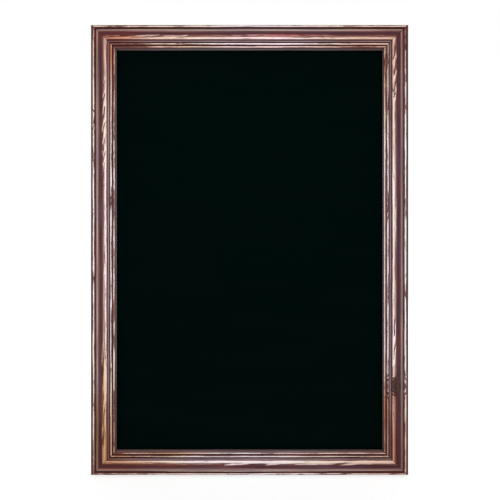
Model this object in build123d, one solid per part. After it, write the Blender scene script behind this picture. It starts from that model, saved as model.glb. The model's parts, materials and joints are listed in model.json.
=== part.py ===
"""Slate writing board for a wall: a mitred frame of beaded timber moulding round a black chalk panel.

The board is upright, +X right and +Z up as seen from the writing side, which looks along -Y.
The origin is the middle of the top rail's back face, where the board bears on the wall.
Lengths are in millimetres and angles in degrees.
"""

import math
import os

from build123d import *

# Writing face inside the frame
SIGHT_WIDTH = 400.0
SIGHT_HEIGHT = 600.0

# Moulding across its face, from the outer edge to the sight edge
OUTER_COVE_WIDTH = 4.5
OUTER_BEAD_WIDTH = 4.0
FILLET_WIDTH = 3.8
COVE_WIDTH = 7.0
TORUS_WIDTH = 7.6
STEP_WIDTH = 1.7
INNER_BEAD_WIDTH = 3.0
SIGHT_BEAD_WIDTH = 3.2
QUIRK_WIDTH = 1.4

# Moulding through its depth; the face level is the foot of the two inner beads
OUTER_WALL = 9.0
SIGHT_WALL = 10.0
OUTER_COVE_DEPTH = 0.8
OUTER_LEVEL_DROP = 0.7
OUTER_BEAD_RISE = 1.9
COVE_DEPTH = 2.0
TORUS_TOE_DROP = 1.2
TORUS_RISE = 3.0
STEP_RISE = 0.4
INNER_BEAD_RISE = 1.4
QUIRK_DEPTH = 1.2
BACK_ARRIS = 0.8

# Rebate, and the panel that lies in it
REBATE_WIDTH = 8.0
REBATE_DEPTH = 9.0
PANEL_EDGE_GAP = 1.5
SLATE_THICKNESS = 0.8
CORE_THICKNESS = 3.2

# Flexible framer's points over the panel's back
POINT_WIDTH = 6.0
POINT_CLIP = 1.5
POINT_GAUGE = 0.5
POINT_DRIVEN = 6.0
POINT_FREE = 9.0
POINT_PITCH = 120.0
POINT_CORNER_SPACE = 50.0

# V-nails across the back of each mitre
V_NAIL_LEG = 5.5
V_NAIL_GAUGE = 0.9
V_NAIL_HEIGHT = 10.0
V_NAIL_SINK = 0.3
V_NAIL_OUTER_INSET = 8.5
V_NAIL_INNER_INSET = 9.0

# Hangers on the stiles: a folded strap, a ring in its knuckle and a screw
HANGER_DROP = 170.0
STRAP_WIDTH = 10.0
STRAP_GAUGE = 0.9
STRAP_NECK = 5.0
STRAP_TAIL = 11.0
STRAP_CLIP = 2.5
STRAP_HOLE_CLEARANCE = 0.25
RING_WIRE = 1.8
RING_BEND = 1.8
RING_SIDE_PLAY = 1.2
RING_SCREW_CLEARANCE = 1.4
RING_BUTT_GAP = 0.3
RING_REST_GAP = 0.3
KNUCKLE_CLEARANCE = 0.08
SCREW_SHANK = 3.5
SCREW_LENGTH = 13.0
SCREW_HEAD = 6.6
SCREW_HEAD_HEIGHT = 2.2
SCREW_HEAD_RIM = 1.2
SCREW_CROWN = 4.4
SCREW_SEAT_MARGIN = 0.3
PILOT_CLEARANCE = 0.05

# Felt bumpers on the bottom rail
BUMPER_DIAMETER = 12.0
BUMPER_THICKNESS = 3.0
BUMPER_INSET = 50.0

# Places across the moulding that follow from the widths above
OUTER_BEAD_END = OUTER_COVE_WIDTH + OUTER_BEAD_WIDTH
FILLET_START = OUTER_BEAD_END + QUIRK_WIDTH
FILLET_END = FILLET_START + FILLET_WIDTH
TORUS_START = FILLET_END + COVE_WIDTH
TORUS_END = TORUS_START + TORUS_WIDTH
STEP_END = TORUS_END + STEP_WIDTH
INNER_BEAD_START = STEP_END + QUIRK_WIDTH
INNER_BEAD_END = INNER_BEAD_START + INNER_BEAD_WIDTH
SIGHT_BEAD_START = INNER_BEAD_END + QUIRK_WIDTH
FACE_WIDTH = SIGHT_BEAD_START + SIGHT_BEAD_WIDTH
BACK_WIDTH = FACE_WIDTH - REBATE_WIDTH

# Levels and outer sizes that follow from the values above
FACE_LEVEL = REBATE_DEPTH + SIGHT_WALL
OUTER_LEVEL = FACE_LEVEL - OUTER_LEVEL_DROP
TORUS_LEVEL = FACE_LEVEL + TORUS_RISE
PANEL_BACK = REBATE_DEPTH - SLATE_THICKNESS - CORE_THICKNESS
OUTER_WIDTH = SIGHT_WIDTH + 2 * FACE_WIDTH
OUTER_HEIGHT = SIGHT_HEIGHT + 2 * FACE_WIDTH

# Hanger sizes that follow: the ring folds down over the strap, round the screw's head
KNUCKLE_RADIUS = RING_WIRE / 2 + KNUCKLE_CLEARANCE
RING_AXIS = STRAP_GAUGE + KNUCKLE_RADIUS
SCREW_DROP = STRAP_NECK + STRAP_GAUGE / 2 + SCREW_SEAT_MARGIN + SCREW_HEAD / 2
STRAP_LENGTH = SCREW_DROP + STRAP_TAIL
RING_WIDTH = STRAP_WIDTH + 2 * (RING_SIDE_PLAY + RING_BEND)
RING_REACH = SCREW_DROP + SCREW_HEAD / 2 + RING_SCREW_CLEARANCE + RING_WIRE / 2

# Each side of the frame, clockwise from the top: its length and the reach from the board's centre
SIDES = {
    "top": (OUTER_WIDTH, OUTER_HEIGHT / 2),
    "right": (OUTER_HEIGHT, OUTER_WIDTH / 2),
    "bottom": (OUTER_WIDTH, OUTER_HEIGHT / 2),
    "left": (OUTER_HEIGHT, OUTER_WIDTH / 2),
}
MEMBERS = {"top": "rail_top", "right": "stile_right", "bottom": "rail_bottom", "left": "stile_left"}
HANDS = {"left": -1, "right": 1}


def chain(start, steps):
    """Edges from point to point: a step of one point is a straight run, of two an arc through the first."""
    edges = []
    here = start
    for *through, end in steps:
        edges.append(ThreePointArc(here, *through, end) if through else Line(here, end))
        here = end
    return edges


def outline(start, steps):
    """Face inside a chain of edges that a straight run closes."""
    return make_face(chain(start, [*steps, (start,)]))


def plate(face, depth, thickness):
    """Solid on a face drawn in the board's plane, from a depth in front of the back plane forwards."""
    return extrude(Plane.XZ.offset(depth) * face, amount=thickness)


def bead(near, far, level, rise):
    """Steps of a round bead that stands on a level between two places."""
    return [(((near + far) / 2, level + rise), (far, level))]


def quirk(near, far, near_level, far_level):
    """Steps of a square groove between two places, cut to one depth below its lower edge."""
    floor = min(near_level, far_level) - QUIRK_DEPTH
    return [((near, floor),), ((far, floor),), ((far, far_level),)]


def outer_cove_middle():
    """Deepest point of the hollow between the outer wall and the outer bead."""
    rise = OUTER_LEVEL - OUTER_WALL
    chord = math.hypot(OUTER_COVE_WIDTH, rise)
    inwards = OUTER_COVE_DEPTH * rise / chord
    backwards = OUTER_COVE_DEPTH * OUTER_COVE_WIDTH / chord
    return OUTER_COVE_WIDTH / 2 + inwards, (OUTER_WALL + OUTER_LEVEL) / 2 - backwards


def moulding_section():
    """Cross-section of the moulding: x runs inwards from the outer edge, y forwards from the back."""
    torus_toe = (TORUS_START, FACE_LEVEL - TORUS_TOE_DROP)
    torus_crest = ((TORUS_START + TORUS_END) / 2, TORUS_LEVEL)
    cove_floor = ((FILLET_END + TORUS_START) / 2, OUTER_LEVEL - COVE_DEPTH)
    step_level = FACE_LEVEL + STEP_RISE
    steps = [((BACK_WIDTH, 0),), ((BACK_WIDTH, REBATE_DEPTH),), ((FACE_WIDTH, REBATE_DEPTH),)]
    steps += [((FACE_WIDTH, FACE_LEVEL),)]
    steps += bead(FACE_WIDTH, SIGHT_BEAD_START, FACE_LEVEL, INNER_BEAD_RISE)
    steps += quirk(SIGHT_BEAD_START, INNER_BEAD_END, FACE_LEVEL, FACE_LEVEL)
    steps += bead(INNER_BEAD_END, INNER_BEAD_START, FACE_LEVEL, INNER_BEAD_RISE)
    steps += quirk(INNER_BEAD_START, STEP_END, FACE_LEVEL, step_level)
    steps += [((TORUS_END, step_level),)]
    steps += [(torus_crest, torus_toe), (cove_floor, (FILLET_END, OUTER_LEVEL))]
    steps += [((FILLET_START, OUTER_LEVEL),)]
    steps += quirk(FILLET_START, OUTER_BEAD_END, OUTER_LEVEL, OUTER_LEVEL)
    steps += bead(OUTER_BEAD_END, OUTER_COVE_WIDTH, OUTER_LEVEL, OUTER_BEAD_RISE)
    steps += [(outer_cove_middle(), (0, OUTER_WALL)), ((0, BACK_ARRIS),)]
    return outline((BACK_ARRIS, 0), steps)


def member(length, reach):
    """Moulding of the top side, centred on the board, with a 45 degree mitre at each end."""
    across = Plane(origin=(0, 0, reach), x_dir=(0, 0, -1), z_dir=(-1, 0, 0))
    bar = extrude(across * moulding_section(), amount=length / 2, both=True)
    half = length / 2
    spare = FACE_WIDTH
    mitres = Polyline(
        (-half - spare, reach + spare),
        (half + spare, reach + spare),
        (half - 2 * FACE_WIDTH, reach - 2 * FACE_WIDTH),
        (-half + 2 * FACE_WIDTH, reach - 2 * FACE_WIDTH),
        close=True,
    )
    return bar & plate(make_face(mitres), -spare, TORUS_LEVEL + 2 * spare)


def framer_points(length, reach):
    """Points along the top side: each is driven into the rebate wall and lies on the panel's back."""
    rebate_length = length - 2 * BACK_WIDTH
    count = 1 + math.floor((rebate_length - 2 * POINT_CORNER_SPACE) / POINT_PITCH)
    wall = reach - BACK_WIDTH
    half = POINT_WIDTH / 2
    blunt = half - POINT_CLIP
    tip = wall + POINT_DRIVEN
    end = wall - POINT_FREE
    tab = outline(
        (0, tip),
        [((half, tip - half),), ((half, end + POINT_CLIP),), ((blunt, end),)]
        + [((-blunt, end),), ((-half, end + POINT_CLIP),), ((-half, tip - half),)],
    )
    point = plate(tab, PANEL_BACK - POINT_GAUGE, POINT_GAUGE)
    first = -POINT_PITCH * (count - 1) / 2
    return [Pos(first + i * POINT_PITCH, 0, 0) * point for i in range(count)]


def v_nails(hand, level, sink, height):
    """Two V-nails of one corner, on the mitre line, with a leg in the rail and one in the stile."""
    half = V_NAIL_GAUGE / 2
    leg = V_NAIL_LEG
    nails = []
    for inset in (V_NAIL_OUTER_INSET, BACK_WIDTH - V_NAIL_INNER_INSET):
        x = OUTER_WIDTH / 2 - inset
        z = OUTER_HEIGHT / 2 - inset
        corners = [(-half, -half), (leg, -half), (leg, half), (half, half), (half, leg), (-half, leg)]
        vee = Polyline(*((hand * (x + a), level * (z + b)) for a, b in corners), close=True)
        nails.append(plate(make_face(vee), sink, height))
    return nails


def panel_sheet(depth, thickness):
    """Sheet of the panel, lying in the rebate with its edge gap all round."""
    margin = 2 * (REBATE_WIDTH - PANEL_EDGE_GAP)
    return plate(Rectangle(SIGHT_WIDTH + margin, SIGHT_HEIGHT + margin), depth, thickness)


def hanger_place(hand):
    """Where a ring's axis meets the middle of a stile's back face."""
    return Pos(hand * (OUTER_WIDTH - BACK_WIDTH) / 2, 0, OUTER_HEIGHT / 2 - HANGER_DROP)


def rounded_hull(first, second):
    """Face drawn tightly round two faces."""
    return make_hull([*first.edges(), *second.edges()])


def strap_section():
    """Strap from its side, x up and y backwards: a strip folded round the ring's bar, then lying double."""
    double = 2 * STRAP_GAUGE
    bar = Pos(0, RING_AXIS)
    tail = Pos(-STRAP_LENGTH, 0) * Rectangle(STRAP_LENGTH - STRAP_NECK, double, align=(Align.MIN, Align.MIN))
    neck = Pos(-STRAP_NECK, STRAP_GAUGE) * Rectangle(STRAP_GAUGE, double)
    pocket_end = Pos(STRAP_GAUGE - STRAP_NECK, STRAP_GAUGE) * Circle(STRAP_GAUGE / 4)
    knuckle = rounded_hull(bar * Circle(KNUCKLE_RADIUS + STRAP_GAUGE), neck)
    pocket = rounded_hull(bar * Circle(KNUCKLE_RADIUS), pocket_end)
    return knuckle + tail - pocket


def hanger_strap():
    """Folded strap with clipped corners at its tail and a screw hole."""
    side = Plane(origin=(0, 0, 0), x_dir=(0, 0, 1), z_dir=(-1, 0, 0))
    strip = extrude(side * strap_section(), amount=STRAP_WIDTH / 2, both=True)
    top = RING_AXIS + KNUCKLE_RADIUS + STRAP_GAUGE
    half = STRAP_WIDTH / 2
    blunt = half - STRAP_CLIP
    shoulder = STRAP_CLIP - STRAP_LENGTH
    plan = outline(
        (-half, 2 * top),
        [((half, 2 * top),), ((half, shoulder),), ((blunt, -STRAP_LENGTH),)]
        + [((-blunt, -STRAP_LENGTH),), ((-half, shoulder),)],
    )
    hole = Pos(0, -SCREW_DROP) * Circle(SCREW_SHANK / 2 + STRAP_HOLE_CLEARANCE)
    return strip & plate(plan - hole, -2 * top, 3 * top)


def hanger_ring():
    """Loop of round wire with its straight bar on the hinge axis, leaning on the stile as when it is hung."""
    half = RING_WIDTH / 2
    butt = RING_BUTT_GAP / 2
    corners = [(butt, 0), (half, 0), (half, RING_REACH), (-half, RING_REACH), (-half, 0), (-butt, 0)]
    wire = Plane.XZ * FilletPolyline(*corners, radius=RING_BEND)
    ring = sweep(Plane(origin=(butt, 0, 0), z_dir=(1, 0, 0)) * Circle(RING_WIRE / 2), path=wire)
    lean = math.degrees(math.asin((RING_AXIS - RING_WIRE / 2 - RING_REST_GAP) / RING_REACH))
    return Pos(0, RING_AXIS, 0) * Rot(lean, 0, 0) * ring


def hanger_screw():
    """Pan-head wood screw through the strap into the stile."""
    seat = 2 * STRAP_GAUGE
    head = SCREW_HEAD / 2
    shank = SCREW_SHANK / 2
    end = seat - SCREW_LENGTH
    crown = seat + SCREW_HEAD_HEIGHT
    half_section = outline(
        (0, end),
        [((shank, end),), ((shank, seat),), ((head, seat),), ((head, seat + SCREW_HEAD_RIM),)]
        + [((SCREW_CROWN / 2, crown),), ((0, crown),)],
    )
    return Pos(0, 0, -SCREW_DROP) * revolve(half_section, axis=Axis.Y)


def pilot_hole():
    """Hole in a stile for the hanger's screw."""
    depth = SCREW_LENGTH - 2 * STRAP_GAUGE
    return plate(Pos(0, -SCREW_DROP) * Circle(SCREW_SHANK / 2 + PILOT_CLEARANCE), 0, depth)


def bumper(hand):
    """Round felt pad on the bottom rail's back face."""
    pad = plate(Circle(BUMPER_DIAMETER / 2), -BUMPER_THICKNESS, BUMPER_THICKNESS)
    return Pos(hand * (OUTER_WIDTH / 2 - BUMPER_INSET), 0, (BACK_WIDTH - OUTER_HEIGHT) / 2) * pad


def board():
    """Every piece by name, about the board's centre on the back plane."""
    pieces = {
        "slate_face": [panel_sheet(REBATE_DEPTH - SLATE_THICKNESS, SLATE_THICKNESS)],
        "panel_core": [panel_sheet(PANEL_BACK, CORE_THICKNESS)],
    }
    driven = []
    for level_name, level in (("top", 1), ("bottom", -1)):
        for hand_name, hand in HANDS.items():
            corner = hand, level
            pieces[f"v_nails_{level_name}_{hand_name}"] = v_nails(*corner, V_NAIL_SINK, V_NAIL_HEIGHT)
            # The punch drives each nail under the back face and leaves its slot open there
            driven += v_nails(*corner, 0, V_NAIL_SINK + V_NAIL_HEIGHT)
    for hand_name, hand in HANDS.items():
        place = hanger_place(hand)
        pieces[f"hanger_strap_{hand_name}"] = [place * hanger_strap()]
        pieces[f"hanger_ring_{hand_name}"] = [place * hanger_ring()]
        pieces[f"hanger_screw_{hand_name}"] = [place * hanger_screw()]
        pieces[f"wall_bumper_{hand_name}"] = [bumper(hand)]
        driven.append(place * pilot_hole())
    for quarter, (side, (length, reach)) in enumerate(SIDES.items()):
        about = Rot(0, quarter * 360 / len(SIDES), 0)
        points = [about * point for point in framer_points(length, reach)]
        pieces[f"framer_points_{side}"] = points
        pieces[MEMBERS[side]] = [about * member(length, reach) - points - driven]
    return pieces


def main():
    """Write one file for each piece, moved so that the origin is on the top rail's back face."""
    os.makedirs("parts", exist_ok=True)
    to_origin = Pos(0, 0, BACK_WIDTH / 2 - OUTER_HEIGHT / 2)
    for name, solids in board().items():
        placed = [to_origin * solid for solid in solids]
        export_step(placed[0] if len(placed) == 1 else Compound(children=placed), f"parts/{name}.step")


if __name__ == "__main__":
    main()
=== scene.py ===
"""Looks of a slate writing board: a mitred frame of rubbed, stained pine round a black chalk panel.

The board stands upright, +X right and +Z up as seen from the writing side, which looks along -Y.
Sizes in the classes are in millimetres; the scene's own units are metres.
"""

import cmath
import json
import logging
import math
from collections.abc import Iterable
from dataclasses import dataclass
from enum import Enum, auto
from itertools import accumulate, pairwise
from typing import Any, NamedTuple, TypeVar

import bpy
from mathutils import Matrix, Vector


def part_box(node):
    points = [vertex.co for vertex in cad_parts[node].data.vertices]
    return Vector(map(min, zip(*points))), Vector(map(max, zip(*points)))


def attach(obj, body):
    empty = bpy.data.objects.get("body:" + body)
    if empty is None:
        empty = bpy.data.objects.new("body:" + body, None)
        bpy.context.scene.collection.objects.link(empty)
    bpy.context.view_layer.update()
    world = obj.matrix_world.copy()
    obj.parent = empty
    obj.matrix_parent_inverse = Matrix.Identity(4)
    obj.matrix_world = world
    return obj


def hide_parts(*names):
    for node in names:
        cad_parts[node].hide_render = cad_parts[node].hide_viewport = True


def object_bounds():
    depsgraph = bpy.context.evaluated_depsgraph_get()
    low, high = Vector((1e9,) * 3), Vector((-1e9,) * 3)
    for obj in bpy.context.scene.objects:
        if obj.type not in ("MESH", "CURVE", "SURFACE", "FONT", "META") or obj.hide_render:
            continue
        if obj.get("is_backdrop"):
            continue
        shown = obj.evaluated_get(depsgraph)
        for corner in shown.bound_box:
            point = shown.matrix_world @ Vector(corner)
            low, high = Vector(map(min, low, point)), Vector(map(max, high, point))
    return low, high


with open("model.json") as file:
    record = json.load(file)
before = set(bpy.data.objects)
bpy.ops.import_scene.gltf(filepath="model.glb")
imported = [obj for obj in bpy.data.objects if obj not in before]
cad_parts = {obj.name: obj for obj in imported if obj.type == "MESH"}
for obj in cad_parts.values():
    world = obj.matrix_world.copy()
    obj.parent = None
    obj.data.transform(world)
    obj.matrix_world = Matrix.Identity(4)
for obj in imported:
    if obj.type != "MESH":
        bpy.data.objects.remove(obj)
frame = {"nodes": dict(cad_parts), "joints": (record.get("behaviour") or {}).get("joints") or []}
CAD_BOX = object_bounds()

MM = 0.001
# Points that are nearer to one another than this, in millimetres, become one.
WELD = 0.001
# Space along one long board between the places that the four members are cut from.
BOARD_SPACING = 2000.0
# What is driven into the members, as their tree's inputs name it.
DRIVEN = ("Nails", "Points and screws")
SMOOTH = {"interpolation_type": "SMOOTHSTEP"}
WHITE = (1.0, 1.0, 1.0, 1.0)
UNTURNED = (0.0, 0.0, 0.0)
LOG = logging.getLogger("slate_board")

Socket = bpy.types.NodeSocket
Tree = bpy.types.NodeTree
Colour = tuple[float, float, float, float]
Spot = tuple[float, float, float]
Paint = Socket | str
Inputs = dict[str, Socket]
Record = TypeVar("Record")


def linear(code: str) -> Colour:
    """Turn an sRGB hex code into a linear colour.

    Args:
        code: a hash sign and six hex digits.

    Returns:
        Red, green, blue and an alpha of 1.
    """
    shares = [int(code[i:i + 2], 16) / 255 for i in (1, 3, 5)]
    return (*(s / 12.92 if s <= 0.04045 else ((s + 0.055) / 1.055) ** 2.4 for s in shares), 1.0)


def add(tree: Tree, kind: str, *values: Any, out: str | None = None, **named: Any) -> Socket | None:
    """Add one node with its settings, and set or link its inputs.

    Args:
        tree: the node tree of a material, the world or a geometry.
        kind: name of the node's type without its prefix, then its operation where it has one.
        values: a value, or the socket or sockets that feed it, for each of the first inputs.
        out: name of the output that is wanted, where it is not the first live one.
        named: the same for inputs by name, with _ for a space; and settings, which have no capitals.

    Returns:
        The output, or None for a node that has none.
    """
    kind, *operation = kind.split()
    types = (prefix + kind for prefix in ("GeometryNode", "ShaderNode", "FunctionNode", "Node"))
    node = tree.nodes.new(next(name for name in types if hasattr(bpy.types, name)))
    if operation:
        node.operation = operation[0]
    for key, value in named.items():
        if key.islower():
            setattr(node, key, value)
    live = {socket.name: socket for socket in node.inputs if socket.enabled}
    feeds = list(zip(node.inputs, values))
    feeds += [(live[key.replace("_", " ")], value) for key, value in named.items() if not key.islower()]
    for socket, value in feeds:
        sources = value if isinstance(value, list) else [value]
        if isinstance(sources[0], Socket):
            for source in sources:
                tree.links.new(source, socket)
        else:
            socket.default_value = value
    return node.outputs[out] if out else next((s for s in node.outputs if s.enabled), None)


def layered(tree: Tree, colour: Paint, *layers: tuple[Socket, Paint], blend: str = "MIX") -> Socket:
    """Lay colours over one another.

    Args:
        tree: the material's tree.
        colour: the lowest colour, as a socket or a hex code.
        layers: how far each next colour covers what lies under it, and that colour.
        blend: how a layer meets what lies under it.

    Returns:
        What shows of them all.
    """
    for share, layer in layers:
        under, over = (linear(c) if isinstance(c, str) else c for c in (colour, layer))
        colour = add(tree, "Mix", Factor=share, A=under, B=over, data_type="RGBA", blend_type=blend)
    return colour


def grain_noise(tree: Tree, wood: Socket, length: float, width: float, detail: float) -> Socket:
    """Noise about zero, drawn out along the grain.

    Args:
        tree: the tree that reads it.
        wood: place along, across and through the timber.
        length: size of a feature along the grain.
        width: size of a feature across the grain.
        detail: how many finer layers it has.

    Returns:
        A value from about -0.5 to 0.5.
    """
    spot = add(tree, "VectorMath MULTIPLY", wood, (1 / length, 1 / width, 1 / width))
    cloud = add(tree, "TexNoise", Vector=spot, Scale=1.0, Detail=detail)
    return add(tree, "Math SUBTRACT", cloud, 0.5)


def cleared(owner: bpy.types.Material | bpy.types.World) -> Tree:
    """Give a material or a world an empty node tree.

    Args:
        owner: the material or the world.

    Returns:
        Its tree.
    """
    owner.use_nodes = True
    owner.node_tree.nodes.clear()
    return owner.node_tree


def listed(kind: type[Record], table: dict[Enum, Iterable[tuple[Any, ...]]]) -> tuple[Record, ...]:
    """Make a record of each row of a table, whose rows are grouped by the record's first field."""
    return tuple(kind(key, *row) for key, rows in table.items() for row in rows)


class Side(Enum):
    """A side of the frame, by its quarter turns clockwise from the top."""

    TOP = 0
    RIGHT = 1
    BOTTOM = 2
    LEFT = 3

    @property
    def label(self) -> str:
        """The side in the names of nodes."""
        return self.name.lower()

    @property
    def level(self) -> bool:
        """Whether the member on this side is a rail."""
        return self in (Side.TOP, Side.BOTTOM)

    @property
    def member(self) -> str:
        """Name of the timber on this side."""
        return f"{'rail' if self.level else 'stile'}_{self.label}"

    @property
    def turn(self) -> float:
        """Turn about +Y from the top, in radians."""
        return self.value * math.pi / 2

    @property
    def grain_start(self) -> float:
        """Where the timber is cut from one long board, so that no two members match."""
        return BOARD_SPACING * self.value


class Stretch(Enum):
    """A stretch of the moulding's face, from the outer edge inwards."""

    OUTER_WALL = auto()
    OUTER_COVE = auto()
    OUTER_BEAD = auto()
    OUTER_QUIRK = auto()
    FILLET = auto()
    COVE = auto()
    TORUS = auto()
    STEP = auto()
    STEP_QUIRK = auto()
    INNER_BEAD = auto()
    BEAD_QUIRK = auto()
    SIGHT_BEAD = auto()
    SIGHT_WALL = auto()


def traced(start: complex, runs: Iterable[tuple[complex, ...]], pitch: float, ease: float) -> list[complex]:
    """Space points along straight and round runs that follow one another, with blunt corners between them.

    Args:
        start: where the first run starts.
        runs: the end of each run, after a point that it passes through where it is round.
        pitch: the widest space between two points of a run.
        ease: how far the points stand from the corners.

    Returns:
        The points in order.
    """
    points: list[complex] = []
    for *through, end in runs:
        length = abs(end - start)
        if through:
            chord = through[0] - start
            share = (end - start) / chord
            centre = start + chord * (share - abs(share) ** 2) / (2j * share.imag)
            sweep = cmath.phase((end - centre) / (start - centre))
            length = abs(sweep) * abs(start - centre)
        steps = max(1, math.ceil((length - 2 * ease) / pitch))
        shares = [(ease + (length - 2 * ease) * i / steps) / length for i in range(steps + 1)]
        if through:
            points += [centre + (start - centre) * cmath.exp(1j * sweep * s) for s in shares]
        else:
            points += [start + (end - start) * s for s in shares]
        start = end
    return points


@dataclass(frozen=True)
class Moulding:
    """Section of the frame's timber: across from the outer edge, and forwards from the back."""

    outer_cove: float = 4.5
    outer_bead: float = 4.0
    fillet: float = 3.8
    cove: float = 7.0
    torus: float = 7.6
    step: float = 1.7
    inner_bead: float = 3.0
    sight_bead: float = 3.2
    quirk: float = 1.4
    outer_wall: float = 9.0
    sight_wall: float = 10.0
    outer_cove_depth: float = 0.8
    outer_level_drop: float = 0.7
    outer_bead_rise: float = 1.9
    cove_depth: float = 2.0
    torus_toe_drop: float = 1.2
    torus_rise: float = 3.0
    step_rise: float = 0.4
    inner_bead_rise: float = 1.4
    quirk_depth: float = 1.2
    back_arris: float = 0.8
    rebate_width: float = 8.0
    rebate_depth: float = 9.0
    ease: float = 0.12
    face_pitch: float = 0.4
    back_pitch: float = 40.0

    def places(self) -> dict[Stretch, tuple[float, float]]:
        """Where each stretch starts and ends across the face, with both walls laid flat beside it.

        Returns:
            Both places of each stretch.
        """
        widths = (
            self.outer_wall, self.outer_cove, self.outer_bead, self.quirk, self.fillet, self.cove,
            self.torus, self.step, self.quirk, self.inner_bead, self.quirk, self.sight_bead, self.sight_wall,
        )
        return dict(zip(Stretch, pairwise(accumulate(widths, initial=-self.outer_wall))))

    @property
    def face_width(self) -> float:
        """Width of the whole face."""
        return self.places()[Stretch.SIGHT_BEAD][1]

    @property
    def face_level(self) -> float:
        """Level of the foot of the two inner beads."""
        return self.rebate_depth + self.sight_wall

    def unrolled(self, point: complex) -> float:
        """Place of a point of the section across the face, with both walls laid flat beside it.

        Args:
            point: the point, across and forwards.

        Returns:
            Its place.
        """
        if math.isclose(point.real, self.face_width):
            return point.real + self.face_level - point.imag
        if math.isclose(point.real, 0, abs_tol=self.ease / 10):
            return point.imag - self.outer_wall
        return point.real

    def outline(self) -> list[complex]:
        """Points round the section, starting at the back's outer arris.

        Returns:
            The points, across and forwards.
        """
        at = self.places()
        wide, level = self.face_width, self.face_level
        back_width = wide - self.rebate_width
        outer = level - self.outer_level_drop
        step_level = level + self.step_rise
        torus_near, torus_far = at[Stretch.TORUS]
        torus_toe = complex(torus_near, level - self.torus_toe_drop)
        torus_crest = complex((torus_near + torus_far) / 2, level + self.torus_rise)
        fillet_end = complex(at[Stretch.FILLET][1], outer)
        cove_floor = complex((fillet_end.real + torus_toe.real) / 2, outer - self.cove_depth)
        slope = complex(self.outer_cove, outer - self.outer_wall)
        hollow = complex(0, self.outer_wall) + slope / 2 - self.outer_cove_depth * 1j * slope / abs(slope)

        def bead(stretch: Stretch, foot: float, rise: float) -> list[tuple[complex, ...]]:
            """A bead's round, from its far foot to its near one."""
            near, far = at[stretch]
            return [(complex((near + far) / 2, foot + rise), complex(near, foot))]

        def quirk(stretch: Stretch, foot: float, near_level: float) -> list[tuple[complex, ...]]:
            """A quirk's far wall, floor and near wall.

            Args:
                stretch: which quirk.
                foot: level that its depth is taken from.
                near_level: level of its near edge.

            Returns:
                The three runs.
            """
            near, far = at[stretch]
            floor = foot - self.quirk_depth
            return [(complex(far, floor),), (complex(near, floor),), (complex(near, near_level),)]

        behind = [
            (complex(back_width, 0),),
            (complex(back_width, self.rebate_depth),),
            (complex(wide, self.rebate_depth),),
        ]
        face = [
            (complex(wide, level),),
            *bead(Stretch.SIGHT_BEAD, level, self.inner_bead_rise),
            *quirk(Stretch.BEAD_QUIRK, level, level),
            *bead(Stretch.INNER_BEAD, level, self.inner_bead_rise),
            *quirk(Stretch.STEP_QUIRK, level, step_level),
            (complex(torus_far, step_level),),
            (torus_crest, torus_toe),
            (cove_floor, fillet_end),
            (complex(at[Stretch.FILLET][0], outer),),
            *quirk(Stretch.OUTER_QUIRK, outer, outer),
            *bead(Stretch.OUTER_BEAD, outer, self.outer_bead_rise),
            (hollow, complex(0, self.outer_wall)),
            (complex(0, self.back_arris),),
        ]
        first = complex(self.back_arris, 0)
        points = traced(first, behind, self.back_pitch, self.ease)
        points += traced(behind[-1][-1], face, self.face_pitch, self.ease)
        return points + traced(face[-1][-1], [(first,)], self.back_pitch, self.ease)


@dataclass(frozen=True)
class Tone:
    """How a place across the face took its stain, how far that strays in hue, and its rubbing down. Some
    stops also carry a painted highlight, and some painted shade.
    """

    stretch: Stretch
    part: float
    stain: str
    rub: float = 0.0
    ragged: float = 0.12
    figure: float = 0.0
    stray: float = 1.0


@dataclass(frozen=True)
class Patch:
    """An oval place on a member, by its middle and its size along and across the grain."""

    side: Side
    along: float
    across: float
    length: float
    width: float

    def nearness(
            self, tree: Tree, wood: Socket, rim: float = 1.0, core: float = 0.0) -> tuple[Socket, Socket]:
        """How near a place is to the patch.

        Args:
            tree: the tree that reads it.
            wood: place along, across and through the timber.
            rim: share of the patch's own size at which it fades to 0.
            core: share of the patch's own size within which it is 1.

        Returns:
            The nearness, and the way from the middle.
        """
        middle = (self.along + self.side.grain_start, self.across, 0.0)
        away = add(tree, "VectorMath SUBTRACT", wood, middle)
        sized = add(tree, "VectorMath MULTIPLY", away, (2 / self.length, 2 / self.width, 0.0))
        far = add(tree, "VectorMath LENGTH", sized)
        return add(tree, "MapRange", far, rim, core, **SMOOTH), away


@dataclass(frozen=True)
class Rubbing(Patch):
    """A place that is rubbed more, or less, than the rest."""

    rub: float


@dataclass(frozen=True)
class Flame(Rubbing):
    """A place where the growth rings break through the rubbed face as a row of slanting flames."""

    slant: float = 0.0


@dataclass(frozen=True)
class Knot(Patch):
    """A knot in the timber, dark at its heart, with the grain bent and torn round it."""

    torn: float
    heart: float = 1.0


@dataclass(frozen=True)
class Glaze(Patch):
    """A place whose colour is multiplied by a tint. Some are tints of the stain, and some are painted shade.
    """

    tint: str


class Wear(NamedTuple):
    """Fields of the rubbing: bare wood, which on the crests is also a painted highlight, and deep stain from
    0 to 1, raggedness, burnish and torn rings.
    """

    bare: Socket
    deep: Socket
    ragged: Socket
    burnish: Socket
    torn: Socket


class Finish:
    """A material that is named for the real one. Each kind says what its surface gets."""

    name: str

    def shade(self, tree: Tree) -> dict[str, Any]:
        """Draw the pattern, and return the surface shader's inputs."""
        raise NotImplementedError

    def material(self) -> bpy.types.Material:
        """Make the material.

        Returns:
            The material.
        """
        material = bpy.data.materials.new(self.name)
        tree = cleared(material)
        add(tree, "OutputMaterial", Surface=add(tree, "BsdfPrincipled", **self.shade(tree)))
        return material


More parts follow.
